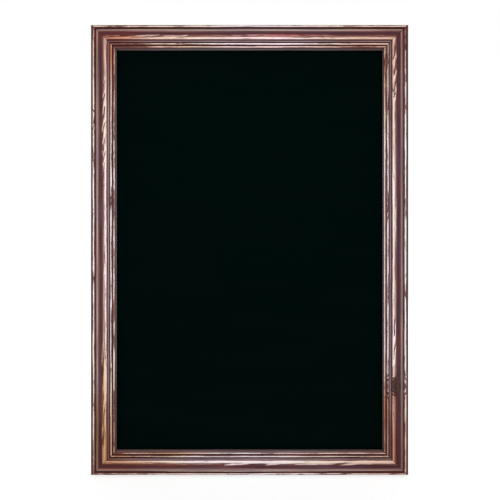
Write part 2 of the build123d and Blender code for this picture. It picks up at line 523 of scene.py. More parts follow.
@dataclass(frozen=True)
class RubbedPine(Finish):
    """Pine with a dark spirit stain, rubbed back to the wood on what stands proud, under satin lacquer.

    The eye gets brown-purple hollows, ragged cream streaks and pointed flames that follow the growth
    rings along the crests, and a soft sheen. Painted light is laid into the colour as well: the pale crests
    are partly a painted highlight over the bare wood, the fillet's paler middle is a painted sheen, rose and
    lilac towards the middle of each member are a painted highlight, and the tint towards the mitres, some
    grey tints on single sides, the sight wall's foot and part of the outer cove's near-black are painted
    shade. Ranges give where a value starts to show and where it is full, and then what it is at both where
    that is not 0 and 1. Reaches are the rim and the core of a patch, as shares of its size. A line and a
    pore have a length along the grain and a width across it.
    """

    moulding: Moulding
    name: str = "rubbed_stained_pine"
    tones: tuple[Tone, ...] = listed(Tone, {
        # The outer cove's near-black is dark stain and painted shade on the slope that faces outwards.
        Stretch.OUTER_COVE: [(0.7, "#2a1415")],
        # Here and on the inner and sight beads, the pale middles are rubbed wood and also a painted
        # highlight on the crests.
        Stretch.OUTER_BEAD: [
            (0.2, "#4a2b29", 0.0, 0.4), (0.44, "#a07d75", 0.95, 1.7, 0.6), (0.72, "#a07d75", 0.95, 1.7, 0.6),
            (0.95, "#4d2d2a", 0.0, 0.4)],
        Stretch.OUTER_QUIRK: [(0.5, "#240c0c")],
        # The fillet's paler middle is a painted sheen of the frontal light on the flat face.
        Stretch.FILLET: [
            (0.1, "#70544e", 0.0, 0.12, 0.0, 0.5), (0.5, "#a8928a", 0.1, 0.5, 0.0, 0.25),
            (0.9, "#7d6362", 0.0, 0.12, 0.0, 0.5)],
        Stretch.COVE: [(0.15, "#5a3a40"), (0.48, "#442430"), (0.78, "#6f4846", 0.1, 0.5, 1.1)],
        # Towards the crest the torus's stain turns pale as a painted highlight, and the rubbing back to bare
        # wood lies over it.
        Stretch.TORUS: [
            (0.0, "#9a756d", 0.2, 0.5, 1.6), (0.22, "#b8968e", 0.28, 0.6, 1.9),
            (0.42, "#cbaea5", 0.42, 0.8, 1.3), (0.6, "#e2cbc2", 0.9, 1.1, 0.4),
            (0.76, "#ad908a", 0.4, 1.0, 0.2), (0.93, "#4c2d31", 0.0, 0.2)],
        Stretch.STEP: [(0.4, "#a58d93", 0.1, 0.8, 0.0, 0.3)],
        Stretch.STEP_QUIRK: [(0.5, "#17090b")],
        Stretch.INNER_BEAD: [
            (0.13, "#402621", 0.0, 0.5), (0.35, "#946f67", 0.8, 1.9), (0.74, "#946f67", 0.8, 1.9),
            (0.96, "#573630", 0.0, 0.5)],
        Stretch.BEAD_QUIRK: [(0.5, "#502b26")],
        Stretch.SIGHT_BEAD: [
            (0.02, "#6b463e", 0.0, 0.5), (0.26, "#8d6860", 0.62, 1.5), (0.68, "#8d6860", 0.7, 1.5),
            (0.95, "#6e4f4c", 0.0, 0.4)],
        Stretch.SIGHT_WALL: [
            (0.1, "#957f7e", 0.0, 0.12, 0.0, 0.4), (0.6, "#aa979b", 0.0, 0.12, 0.0, 0.3),
            # The near-black at the sight wall's foot by the panel is a painted shadow.
            (0.98, "#1a1213")],
    })
    knots: tuple[Knot, ...] = listed(Knot, {
        Side.RIGHT: [(203, 20.5, 33, 15, 30), (-232, 22.5, 4, 2.5, 6)],
        Side.LEFT: [(196, -8, 30, 20, 26, 0.0)],
    })
    rubbings: tuple[Rubbing, ...] = listed(Rubbing, {
        Side.TOP: [
            (70, 33.4, 800, 4.4, 0.8), (0, 38.2, 800, 3, 0.45), (0, 22.4, 900, 4, -0.5),
            (0, 25.6, 900, 3, 0.25), (0, 18.6, 900, 5, 0.42), (-185, 35, 130, 10, -0.9),
            (60, 18.6, 300, 5, 0.15), (205, 28, 130, 34, 0.25)],
        Side.BOTTOM: [
            (0, 9.8, 2400, 3.2, 0.62), (0, 31.9, 1200, 4, 0.95), (0, 37, 1200, 3, 0.45),
            (-40, 40.4, 900, 3, 0.6), (-40, 22, 700, 10, 0.6), (0, 26.6, 1200, 3.4, 0.6),
            (45, 22.6, 150, 7, -0.5), (-205, 28, 150, 34, 0.3)],
        Side.RIGHT: [
            (0, 27.2, 900, 3, -0.4), (0, 33.4, 620, 4.4, -0.18), (0, 36.7, 900, 2.8, -1.0),
            (0, 38.2, 900, 2.2, 1.1), (-38, 20.5, 200, 8, 0.45), (110, 20, 170, 7, -0.5),
            (290, 20.5, 150, 7, -0.35), (-80, 24.5, 420, 4.6, 0.35)],
        Side.LEFT: [
            (0, 24.5, 170, 6, 0.25), (-295, 25.5, 140, 5, -0.6), (-300, 20.5, 140, 6, 0.5),
            (110, 33, 230, 4, 0.4), (-75, 37.2, 280, 4.4, -0.5), (0, 46.8, 1600, 6, 0.62)],
    })
    flames: tuple[Flame, ...] = listed(Flame, {
        Side.LEFT: [(180, 22, 190, 14, 0.12, -0.24), (-230, 21, 250, 16, 0.3, -0.045)],
        Side.RIGHT: [
            (-264, 22.5, 160, 14, 0.15, -0.12), (-255, 6.5, 170, 7, -0.3), (140, 22, 90, 14, 0.0, -0.1)],
        Side.TOP: [(-150, 22, 190, 12, 0.15, 0.105)],
        Side.BOTTOM: [(5, 20.5, 130, 14, 0.15, 0.09), (-125, 20.5, 150, 14, 0.15, 0.075)],
    })
    glazes: tuple[Glaze, ...] = listed(Glaze, {
        Side.TOP: [
            (60, 19.6, 340, 8, "#e48c86"), (0, 23.5, 900, 6, "#f4dcd0"), (0, 37, 900, 5, "#f2d6c8"),
            # The grey tints along the whole top rail at 28.3 and 39.9 are painted shade at the torus's inner
            # foot and on the sight wall.
            (0, 28.3, 1800, 2, "#b8a6a6"), (0, 39.9, 1800, 2.6, "#b49ea6"), (-200, 26, 130, 30, "#eec4ae")],
        Side.LEFT: [
            (-270, 11.8, 190, 7, "#dccf9e"), (-300, 26, 240, 44, "#eedcba"), (-220, 22, 360, 14, "#f2e2c2"),
            (290, 33, 100, 14, "#f0c4ac")],
        Side.RIGHT: [
            # On the right stile the tint over the outer half is painted shade that makes this side darker
            # than the left, and the grey tints along the whole stile at 27.6 and 42 are painted shade at the
            # torus's inner foot and on the sight wall.
            (-60, 13, 1600, 15, "#dcd6dc"), (0, 27.6, 1600, 3.6, "#b8a8a8"), (0, 42, 1600, 7, "#ccb0b6"),
            (290, 24, 220, 40, "#dac0b4"), (215, 22, 120, 13, "#d2ab94"), (285, 20.8, 170, 7, "#b08c80"),
            (235, 36, 130, 14, "#d2a186")],
        Side.BOTTOM: [
            # The grey tints along the whole bottom rail at 30 and 45 are painted shade at the step and its
            # quirk and on the sight wall.
            (0, 30, 2400, 2.6, "#8c7c7a"), (0, 45, 2400, 7, "#bcaaac"), (150, 21, 170, 12, "#f4deaa"),
            (215, 26, 150, 44, "#e8ceb0"), (112, 36.6, 150, 8, "#f2c894")],
    })
    cream: str = "#f0dccb"
    # Rose, for the bare wood, and lilac, for the thin stain, are painted highlight tints that show towards
    # the middle of each member.
    rose: str = "#fff0f6"
    amber: str = "#bd9583"
    lilac: str = "#c4a4ac"
    deep_stain: str = "#5a3230"
    # Stains that stray from the others, each with its strength on the noise that spreads it.
    red_stain: tuple[str, float] = ("#8a4334", 1.2)
    mauve_stain: tuple[str, float] = ("#5c4258", -2.2)
    olive_stain: tuple[str, float] = ("#5a4c3a", 1.1)
    knot_heart: str = "#3c3236"
    knot_ring: str = "#86706a"
    mitre_line: str = "#2a1a18"
    # Length, width and strength of the long strips, the streaks and the fibres that make the rubbing ragged.
    streaks: tuple[Spot, ...] = ((95.0, 1.8, 1.5), (30.0, 1.8, 1.5), (8.0, 0.8, 0.8))
    ring_space: float = 5.0
    ring_lean: float = 0.35
    # How far the growth rings sway, and over what length.
    ring_sways: tuple[tuple[float, float], ...] = ((9.0, 90.0), (6.5, 26.0))
    faint_figure: float = 0.22
    flame_reach: tuple[float, float] = (1.0, 0.4)
    knot_reach: tuple[float, float] = (1.25, 0.5)
    bend_reach: tuple[float, float] = (2.4, 0.3)
    bend_pull: float = 0.65
    knot_rub: float = -0.8
    heart_depth: float = 0.7
    # How far the rings in a knot differ from one another, and their middle.
    knot_rings: tuple[float, float] = (0.14, 0.16)
    ripple: float = 5.5
    ripple_squeeze: float = 0.8
    ripple_strength: float = 0.24
    patch: float = 70.0
    line: tuple[float, float] = (80.0, 1.7)
    line_depth: float = 2.2
    # Strength of the cloud that breaks up the painted highlight, and the highlight's levels from near the
    # mitres to the middle of a member.
    blush_cloud: float = 3.0
    blush_levels: tuple[float, float] = (-0.2, 1.0)
    corner_reach: float = 150.0
    corner_rub: float = -0.16
    # Painted shade that darkens each member towards its mitres.
    corner_tint: str = "#f0dcd6"
    bare_range: tuple[float, ...] = (0.36, 0.88)
    deep_range: tuple[float, ...] = (-0.08, -0.5)
    veil_range: tuple[float, ...] = (0.05, 0.6, 0.0, 0.6)
    clear_range: tuple[float, ...] = (0.25, 0.95)
    seam_range: tuple[float, ...] = (0.5, 0.1)
    gloss_range: tuple[float, ...] = (0.0, 0.5, 0.65, 0.32)
    pore: tuple[float, float] = (6.0, 0.35)
    pore_depth: float = 0.15

    def across(self, tree: Tree, wood: Socket, picks: Iterable[Colour]) -> Socket:
        """Draw a colour or three values that change across the face.

        Args:
            tree: the tree that reads them.
            wood: place along, across and through the timber.
            picks: what each tone gives.

        Returns:
            The colour at that place.
        """
        places = self.moulding.places()
        near, far = places[Stretch.OUTER_WALL][0], places[Stretch.SIGHT_WALL][1]
        share = add(tree, "MapRange", add(tree, "SeparateXYZ", wood, out="Y"), near, far)
        drawn = add(tree, "ValToRGB", share)
        stops = drawn.node.color_ramp.elements
        while len(stops) < len(self.tones):
            stops.new(1.0)
        for stop, tone, pick in zip(stops, self.tones, picks):
            start, end = places[tone.stretch]
            stop.position = (start + (end - start) * tone.part - near) / (far - near)
            stop.color = pick
        return drawn

    def knot_field(self, tree: Tree, wood: Socket) -> Socket:
        """Nearness to a knot's heart.

        Args:
            tree: the tree that reads it.
            wood: place along, across and through the timber.

        Returns:
            1 within the heart, and 0 at the knot's rim and beyond.
        """
        field: Socket | float = 0.0
        for knot in self.knots:
            near, _ = knot.nearness(tree, wood, *self.knot_reach)
            field = add(tree, "Math MULTIPLY_ADD", near, knot.heart, field)
        return field

    def grain(self, tree: Tree, wood: Socket) -> tuple[Socket, Socket]:
        """Bend the grain round the knots, and ripple it there.

        Args:
            tree: the tree that reads it.
            wood: place along, across and through the timber.

        Returns:
            The bent place, and how far the torn grain stands up or lies low.
        """
        bent = wood
        torn: Socket | float = 0.0
        waver = grain_noise(tree, wood, 3 * self.ripple, 3 * self.ripple, detail=1.0)
        for knot in self.knots:
            near, away = knot.nearness(tree, wood, *self.bend_reach)
            pull = add(tree, "VectorMath MULTIPLY", away, (0.0, -self.bend_pull, 0.0))
            bent = add(tree, "VectorMath ADD", bent, add(tree, "VectorMath SCALE", pull, Scale=near))
            oval = add(tree, "VectorMath MULTIPLY", away, (1.0, self.ripple_squeeze, 0.0))
            far = add(tree, "VectorMath LENGTH", oval)
            fade = add(tree, "MapRange", far, knot.torn, knot.torn / 3, **SMOOTH)
            turns = add(tree, "Math MULTIPLY_ADD", waver, 2 * self.ripple, far)
            turns = add(tree, "Math MULTIPLY", turns, math.tau / self.ripple)
            torn = add(tree, "Math MULTIPLY_ADD", add(tree, "Math SINE", turns), fade, torn)
        return bent, torn

    def rub(self, tree: Tree, wood: Socket, mitre: Socket) -> Wear:
        """How far the stain is rubbed away, the same in the relief as in the colour.

        Args:
            tree: the tree that reads it.
            wood: place along, across and through the timber.
            mitre: distance from the nearer mitre along the timber.

        Returns:
            The wear at that place.
        """
        tones = self.across(tree, wood, [(t.rub, t.ragged, t.figure, 1.0) for t in self.tones])
        bias, ragged, figure = add(tree, "SeparateXYZ", tones).node.outputs
        bent, torn = self.grain(tree, wood)
        _, place, depth = add(tree, "SeparateXYZ", bent).node.outputs
        ring = add(tree, "Math MULTIPLY_ADD", place, self.ring_lean, depth)
        for sway, length in self.ring_sways:
            drift = grain_noise(tree, bent, length, length / 2, detail=1.0)
            ring = add(tree, "Math MULTIPLY_ADD", drift, sway, ring)
        zone: Socket | float = self.faint_figure
        added: Socket | float = 0.0
        for flame in self.flames:
            near, away = flame.nearness(tree, wood, *self.flame_reach)
            run = add(tree, "SeparateXYZ", away, out="X")
            run = add(tree, "Clamp", run, -flame.length / 2, flame.length / 2)
            ring = add(tree, "Math MULTIPLY_ADD", run, flame.slant, ring)
            zone = add(tree, "Math ADD", near, zone)
            added = add(tree, "Math MULTIPLY_ADD", near, flame.rub, added)
        ring = add(tree, "Math FRACT", add(tree, "Math DIVIDE", ring, self.ring_space))
        ring = add(tree, "Math SUBTRACT", ring, 0.5)
        rough: Socket | float = 0.0
        for length, width, strength in self.streaks:
            layer = grain_noise(tree, bent, length, width, detail=2.0)
            rough = add(tree, "Math MULTIPLY_ADD", layer, strength, rough)
        rough = add(tree, "Math MULTIPLY_ADD", torn, self.ripple_strength, rough)
        swing = add(tree, "Math MULTIPLY", rough, ragged)
        swing = add(tree, "Math MULTIPLY_ADD", add(tree, "Math MULTIPLY", ring, zone), figure, swing)
        swing = add(tree, "Math MULTIPLY_ADD", self.knot_field(tree, wood), self.knot_rub, swing)
        shy = add(tree, "MapRange", mitre, 0.0, self.corner_reach, self.corner_rub, 0.0, **SMOOTH)
        value = swing
        for part in (bias, added, shy):
            value = add(tree, "Math ADD", part, value)
        for rubbing in self.rubbings:
            near, _ = rubbing.nearness(tree, wood)
            value = add(tree, "Math MULTIPLY_ADD", near, rubbing.rub, value)
        bare = add(tree, "MapRange", value, *self.bare_range, **SMOOTH)
        deep = add(tree, "MapRange", swing, *self.deep_range, **SMOOTH)
        return Wear(bare, deep, ragged, bias, torn)

    def shade(self, tree: Tree) -> dict[str, Any]:
        """Stained and rubbed pine, read from the timber's own grain coordinates.

        Args:
            tree: the material's tree.

        Returns:
            The surface shader's inputs.
        """
        wood = add(tree, "Attribute", attribute_name="wood", out="Vector")
        mitre = add(tree, "Attribute", attribute_name="mitre", out="Fac")
        wear = self.rub(tree, wood, mitre)
        colour = self.across(tree, wood, [(*linear(tone.stain)[:3], tone.stray) for tone in self.tones])
        stray = colour.node.outputs["Alpha"]
        hue = grain_noise(tree, wood, self.patch, self.patch / 5, detail=2.0)
        cast = grain_noise(tree, wood, self.patch / 2, self.patch / 8, detail=2.0)
        stains = (hue, self.red_stain), (hue, self.mauve_stain), (cast, self.olive_stain)
        for field, (code, strength) in stains:
            share = add(tree, "Math MULTIPLY", field, strength, use_clamp=True)
            colour = layered(tree, colour, (add(tree, "Math MULTIPLY", share, stray), code))
        lines = grain_noise(tree, wood, *self.line, detail=3.0)
        lines = add(tree, "Math MULTIPLY_ADD", lines, self.line_depth, 1.0)
        colour = add(tree, "HueSaturation", Value=lines, Color=colour)
        # Painted highlight: rose and lilac towards the middle of each member, away from the mitres, broken
        # up by a cloud.
        cloud = grain_noise(tree, wood, 2 * self.patch, self.patch / 2, detail=1.0)
        middle = add(tree, "MapRange", mitre, self.patch / 2, 4 * self.patch, *self.blush_levels)
        cloudy_highlight = add(tree, "Math MULTIPLY_ADD", cloud, self.blush_cloud, middle, use_clamp=True)
        veil = layered(tree, self.amber, (cloudy_highlight, self.lilac))
        bare = layered(tree, self.cream, (cloudy_highlight, self.rose))
        thin = add(tree, "MapRange", wear.bare, *self.veil_range)
        clear = add(tree, "MapRange", wear.bare, *self.clear_range)
        heart = add(tree, "Math MULTIPLY", self.knot_field(tree, wood), self.heart_depth, use_clamp=True)
        rings = add(tree, "Math MULTIPLY_ADD", wear.torn, *self.knot_rings, use_clamp=True)
        knot = layered(tree, self.knot_heart, (rings, self.knot_ring))
        seam = add(tree, "MapRange", mitre, *self.seam_range)
        colour = layered(
            tree, colour, (wear.deep, self.deep_stain), (thin, veil), (clear, bare), (heart, knot),
            (seam, self.mitre_line))
        # Tints of the stain, and painted shade on single sides, laid over the colour.
        glazes = [(tint_patch.nearness(tree, wood)[0], tint_patch.tint) for tint_patch in self.glazes]
        # Painted shade: the colour darkens towards the mitres, as if less light reached the ends.
        corner = add(tree, "MapRange", mitre, 0.0, self.corner_reach, 1.0, 0.0, **SMOOTH)
        colour = layered(tree, colour, *glazes, (corner, self.corner_tint), blend="MULTIPLY")
        rough = add(tree, "MapRange", wear.burnish, *self.gloss_range)
        fibres = grain_noise(tree, wood, *self.pore, detail=2.0)
        bump = add(tree, "Bump", Height=fibres, Distance=self.pore_depth * MM, Strength=0.6)
        return dict(Base_Color=colour, Roughness=rough, Specular_IOR_Level=0.12, Normal=bump)


@dataclass(frozen=True)
class BarePine(Finish):
    """Planed pine without a finish, on the back: pale, with brown growth lines and stain over the arris."""

    name: str = "bare_pine"
    early_wood: str = "#e0c598"
    late_wood: str = "#b58552"
    late_range: tuple[float, ...] = (0.35, 0.95, 0.0, 0.75)
    stain: str = "#64403a"
    ring_space: float = 4.5
    ring_drift: float = 26.0
    ring_length: float = 320.0
    ring_lean: float = 0.7
    fibre: tuple[float, float] = (36.0, 0.7)
    fibre_strength: float = 0.9
    overrun: float = 2.5
    overrun_cloud: float = 28.0
    overrun_range: tuple[float, ...] = (0.8, -0.8, 0.0, 0.8)
    planer_pitch: float = 2.2
    planer_depth: float = 0.12
    planer_share: float = 0.1

    def shade(self, tree: Tree) -> dict[str, Any]:
        """Bare pine, read from the timber's own grain coordinates.

        Args:
            tree: the material's tree.

        Returns:
            The surface shader's inputs.
        """
        wood = add(tree, "Attribute", attribute_name="wood", out="Vector")
        along, across, depth = add(tree, "SeparateXYZ", wood).node.outputs
        drift = grain_noise(tree, wood, self.ring_length, self.ring_length / 6, detail=1.0)
        ring = add(tree, "Math MULTIPLY_ADD", drift, self.ring_drift, across)
        ring = add(tree, "Math MULTIPLY_ADD", depth, self.ring_lean, ring)
        ring = add(tree, "Math FRACT", add(tree, "Math DIVIDE", ring, self.ring_space))
        late = add(tree, "MapRange", ring, *self.late_range, **SMOOTH)
        fibres = grain_noise(tree, wood, *self.fibre, detail=3.0)
        late = add(tree, "Math MULTIPLY_ADD", fibres, self.fibre_strength, late, use_clamp=True)
        reach = grain_noise(tree, wood, self.overrun_cloud, self.overrun_cloud, detail=4.0)
        reach = add(tree, "Math MULTIPLY_ADD", reach, 4 * self.overrun, self.overrun)
        inside = add(tree, "Math SUBTRACT", across, reach)
        over = add(tree, "MapRange", inside, *self.overrun_range, **SMOOTH)
        colour = layered(tree, self.early_wood, (late, self.late_wood), (over, self.stain))
        ripple = add(tree, "Math SINE", add(tree, "Math MULTIPLY", along, math.tau / self.planer_pitch))
        height = add(tree, "Math MULTIPLY_ADD", ripple, self.planer_share, fibres)
        bump = add(tree, "Bump", Height=height, Distance=self.planer_depth * MM, Strength=0.5)
        return dict(Base_Color=colour, Roughness=0.7, Normal=bump)


@dataclass(frozen=True)
class PlatedSteel(Finish):
    """Steel, plain or thinly plated: bright where it is clean, cloudy where air and hands have dulled it."""

    name: str
    bright: str
    dull: str
    smooth: float
    worn: float
    cloud: float
    dull_range: tuple[float, ...] = (0.35, 0.7)

    def shade(self, tree: Tree) -> dict[str, Any]:
        """Metal with soft clouds in its colour and its gloss.

        Args:
            tree: the material's tree.

        Returns:
            The surface shader's inputs.
        """
        place = add(tree, "TexCoord", out="Object")
        cloud = add(tree, "TexNoise", Vector=place, Scale=1 / (self.cloud * MM), Detail=5.0)
        dulled = add(tree, "MapRange", cloud, *self.dull_range, **SMOOTH)
        rough = add(tree, "MapRange", dulled, 0.0, 1.0, self.smooth, self.worn)
        colour = layered(tree, self.bright, (dulled, self.dull))
        return dict(Base_Color=colour, Metallic=1.0, Roughness=rough)


@dataclass(frozen=True)
class Hardboard(Finish):
    """Back of hardboard: brown pressed fibre with pale flecks and the faint print of the press's screen."""

    name: str = "hardboard"
    dark: str = "#563923"
    light: str = "#8f6a42"
    light_range: tuple[float, ...] = (0.6, 1.4)
    fleck: str = "#b8935f"
    fleck_range: tuple[float, ...] = (0.62, 0.75, 0.0, 0.6)
    cloud: float = 70.0
    fibre: float = 3.0
    screen: float = 1.7
    screen_depth: float = 0.1
    screen_share: float = 0.3

    def shade(self, tree: Tree) -> dict[str, Any]:
        """Fibres in three browns over a screen's ripples.

        Args:
            tree: the material's tree.

        Returns:
            The surface shader's inputs.
        """
        place = add(tree, "TexCoord", out="Object")
        clouds = add(tree, "TexNoise", Vector=place, Scale=1 / (self.cloud * MM), Detail=2.0)
        fibres = add(tree, "TexNoise", Vector=place, Scale=1 / (self.fibre * MM), Detail=4.0, Distortion=1.5)
        chips = add(tree, "TexNoise", Vector=place, Scale=2 / (self.fibre * MM), Detail=1.0)
        light = add(tree, "MapRange", add(tree, "Math ADD", clouds, fibres), *self.light_range)
        flecks = add(tree, "MapRange", chips, *self.fleck_range)
        colour = layered(tree, self.dark, (light, self.light), (flecks, self.fleck))
        turns = add(tree, "VectorMath SCALE", place, Scale=math.tau / (self.screen * MM))
        across, _, up = add(tree, "SeparateXYZ", add(tree, "VectorMath SINE", turns)).node.outputs
        wires = add(tree, "Math MULTIPLY", across, up)
        height = add(tree, "Math MULTIPLY_ADD", wires, self.screen_share, fibres)
        bump = add(tree, "Bump", Height=height, Distance=self.screen_depth * MM, Strength=0.5)
        return dict(Base_Color=colour, Roughness=0.75, Normal=bump)


@dataclass(frozen=True)
class WoolFelt(Finish):
    """Pressed wool felt: brown, quite matt, with lighter and darker fibres matted together."""

    name: str = "wool_felt"
    dark: str = "#3f3128"
    light: str = "#75614f"
    matting: float = 0.7

    def shade(self, tree: Tree) -> dict[str, Any]:
        """Matted fibres with a soft sheen at the edge.

        Args:
            tree: the material's tree.

        Returns:
            The surface shader's inputs.
        """
        place = add(tree, "TexCoord", out="Object")
        scale = 1 / (self.matting * MM)
        fibres = add(tree, "TexNoise", Vector=place, Scale=scale, Detail=4.0, Distortion=2.0)
        colour = layered(tree, self.dark, (fibres, self.light))
        return dict(Base_Color=colour, Roughness=1.0, Specular_IOR_Level=0.1, Sheen_Weight=0.25)


@dataclass(frozen=True)
class SlateLaminate(Finish):
    """Chalkboard laminate: near-black with a green cast, a matt tooth and faint clouds of wiped chalk.

    Seen from in front it is black. A dusty bloom shows when it is seen along its face. The tooth is drawn
    a few times coarser than the real one, so that it shows.
    """

    name: str = "slate_black_laminate"
    black: str = "#000302"
    wiped: str = "#010706"
    wipe: tuple[float, float] = (210.0, 34.0)
    wipe_range: tuple[float, ...] = (-0.15, 0.2)
    roughness: tuple[float, float] = (0.62, 0.8)
    tooth: float = 0.7
    tooth_depth: float = 0.05
    cast: str = "#5afff4"
    bloom: float = 0.022

    def shade(self, tree: Tree) -> dict[str, Any]:
        """Matt black writing surface.

        Args:
            tree: the material's tree.

        Returns:
            The surface shader's inputs.
        """
        spot = add(tree, "VectorMath SCALE", add(tree, "TexCoord", out="Object"), Scale=1 / MM)
        clouds = grain_noise(tree, spot, *self.wipe, detail=4.0)
        dust = add(tree, "MapRange", clouds, *self.wipe_range, **SMOOTH)
        rough = add(tree, "MapRange", dust, 0.0, 1.0, *self.roughness)
        tooth = grain_noise(tree, spot, self.tooth, self.tooth, detail=2.0)
        bump = add(tree, "Bump", Height=tooth, Distance=self.tooth_depth * MM, Strength=0.5)
        cast = linear(self.cast)
        return dict(
            Base_Color=layered(tree, self.black, (dust, self.wiped)), Roughness=rough, Normal=bump,
            Specular_IOR_Level=0.02, Specular_Tint=cast, Sheen_Weight=self.bloom, Sheen_Roughness=0.5,
            Sheen_Tint=cast)


def put(name: str, data: bpy.types.ID) -> bpy.types.Object:
    """Put an object in the scene.

    Args:
        name: its name.
        data: its mesh, lamp or camera.

    Returns:
        The object.
    """
    thing = bpy.data.objects.new(name, data)
    bpy.context.scene.collection.objects.link(thing)
    return thing


def geometry_tree(name: str, **labels: Iterable[str]) -> tuple[Tree, Inputs]:
    """Make a geometry tree with named inputs.

    Args:
        name: what the tree makes.
        labels: names of its inputs, by the kind of their sockets.

    Returns:
        The tree and its inputs' sockets by name.
    """
    tree = bpy.data.node_groups.new(name, "GeometryNodeTree")
    for kind, group in labels.items():
        for label in group:
            tree.interface.new_socket(label, in_out="INPUT", socket_type=f"NodeSocket{kind}")
    tree.interface.new_socket("Geometry", in_out="OUTPUT", socket_type="NodeSocketGeometry")
    return tree, {socket.name: socket for socket in add(tree, "GroupInput").node.outputs}


def grown(name: str, tree: Tree, values: dict[str, Any]) -> bpy.types.Object:
    """Run a geometry tree once and keep what it makes as a plain mesh.

    Args:
        name: name of the piece.
        tree: the tree that makes it.
        values: the value of each named input.

    Returns:
        The piece, at the origin.
    """
    piece = put(name, bpy.data.meshes.new(name))
    modifier = piece.modifiers.new(tree.name, "NODES")
    modifier.node_group = tree
    for item in tree.interface.items_tree:
        if item.item_type == "SOCKET" and item.in_out == "INPUT":
            modifier[item.identifier] = values[item.name]
    graph = bpy.context.evaluated_depsgraph_get()
    made = bpy.data.meshes.new_from_object(
        piece.evaluated_get(graph), preserve_all_data_layers=True, depsgraph=graph)
    piece.modifiers.clear()
    spare, piece.data = piece.data, made
    bpy.data.meshes.remove(spare)
    made.name = name
    return piece


def drawn_curve(name: str, points: Iterable[Spot], closed: bool = False) -> bpy.types.Object:
    """Draw a line of straight runs for a geometry tree to sweep.

    Args:
        name: name of the curve.
        points: its points in order.
        closed: whether its end joins its start.

    Returns:
        The curve, which no scene shows.
    """
    places = list(points)
    curve = bpy.data.curves.new(name, "CURVE")
    curve.dimensions = "3D"
    spline = curve.splines.new("POLY")
    spline.points.add(len(places) - 1)
    for spot, place in zip(spline.points, places):
        spot.co = (*place, 1.0)
    spline.use_cyclic_u = closed
    return bpy.data.objects.new(name, curve)


def swept(tree: Tree, section: Socket, path: Socket) -> tuple[Socket, Socket, Socket]:
    """Sweep a drawn section along a path, for a tree that then sets each point's place.

    Args:
        tree: the geometry tree.
        section: the drawn curve.
        path: the path.

    Returns:
        The mesh, each point's place in the section, and its share of the path.
    """
    shape = add(tree, "ObjectInfo", section, out="Geometry")
    keepers = []
    for curve, kind, field in ((shape, "VECTOR", "InputPosition"), (path, "FLOAT", "SplineParameter")):
        keeper = add(tree, "CaptureAttribute", curve).node
        keeper.capture_items.new(kind, "Kept")
        tree.links.new(add(tree, field), keeper.inputs["Kept"])
        keepers.append(keeper.outputs)
    shape, path = (outputs["Geometry"] for outputs in keepers)
    skin = add(tree, "CurveToMesh", path, shape, Fill_Caps=True)
    return skin, *(outputs["Kept"] for outputs in keepers)


def turned(tree: Tree, section: Socket, sides: int) -> Socket:
    """Turn a drawn half section about the Y axis.

    Args:
        tree: the geometry tree.
        section: the half section, out from the axis in x and along it in y, with both ends on the axis.
        sides: how many sides the round has.

    Returns:
        The closed round piece.
    """
    skin, place, share = swept(tree, section, add(tree, "CurvePrimitiveCircle", Resolution=sides))
    out, along, _ = add(tree, "SeparateXYZ", place).node.outputs
    angle = add(tree, "Math MULTIPLY", share, math.tau)
    across, up = (
        add(tree, "Math MULTIPLY", out, add(tree, f"Math {wave}", angle)) for wave in ("COSINE", "SINE"))
    skin = add(tree, "SetPosition", skin, Position=add(tree, "CombineXYZ", across, along, up))
    return add(tree, "MergeByDistance", skin, Distance=WELD)


def smoothed(tree: Tree, mesh: Socket, degrees: float) -> Socket:
    """Shade a mesh smooth between its sharp edges.

    Args:
        tree: the geometry tree.
        mesh: the mesh.
        degrees: the angle from which an edge stays sharp.

    Returns:
        The shaded mesh.
    """
    mesh = add(tree, "SetShadeSmooth", mesh, domain="FACE")
    sharp = add(tree, "Math GREATER_THAN", add(tree, "InputMeshEdgeAngle"), math.radians(degrees))
    return add(tree, "SetShadeSmooth", mesh, sharp, False, domain="EDGE")


def end_tree(
        tree: Tree, mesh: Socket, place: Socket, turn: Socket | Spot,
        *finishes: tuple[Socket, Socket | bool]) -> Tree:
    """Set what a tree made in millimetres in its place in metres, as real meshes with their materials.

    Args:
        tree: the geometry tree.
        mesh: what it made, about its own origin.
        place: where that origin goes, in metres.
        turn: its turns about the three axes.
        finishes: each material, and which faces get it.

    Returns:
        The tree.
    """
    mesh = add(tree, "Transform", mesh, place, turn, (MM, MM, MM))
    mesh = add(tree, "RealizeInstances", mesh)
    for material, faces in finishes:
        mesh = add(tree, "SetMaterial", mesh, faces, material)
    add(tree, "GroupOutput", mesh)
    return tree


def settle(piece: bpy.types.Object, slot: str, *nodes: str, body: str = "frame") -> None:
    """Set a finished piece on its body in place of the CAD nodes that it stands for.

    Args:
        piece: the piece, at the origin.
        slot: the record's slot of its material; not used.
        nodes: the nodes that it replaces.
        body: the body that it rides on.
    """
    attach(piece, body)
    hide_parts(*nodes)
    LOG.info("%s stands for %s, %d faces", piece.name, ", ".join(nodes), len(piece.data.polygons))


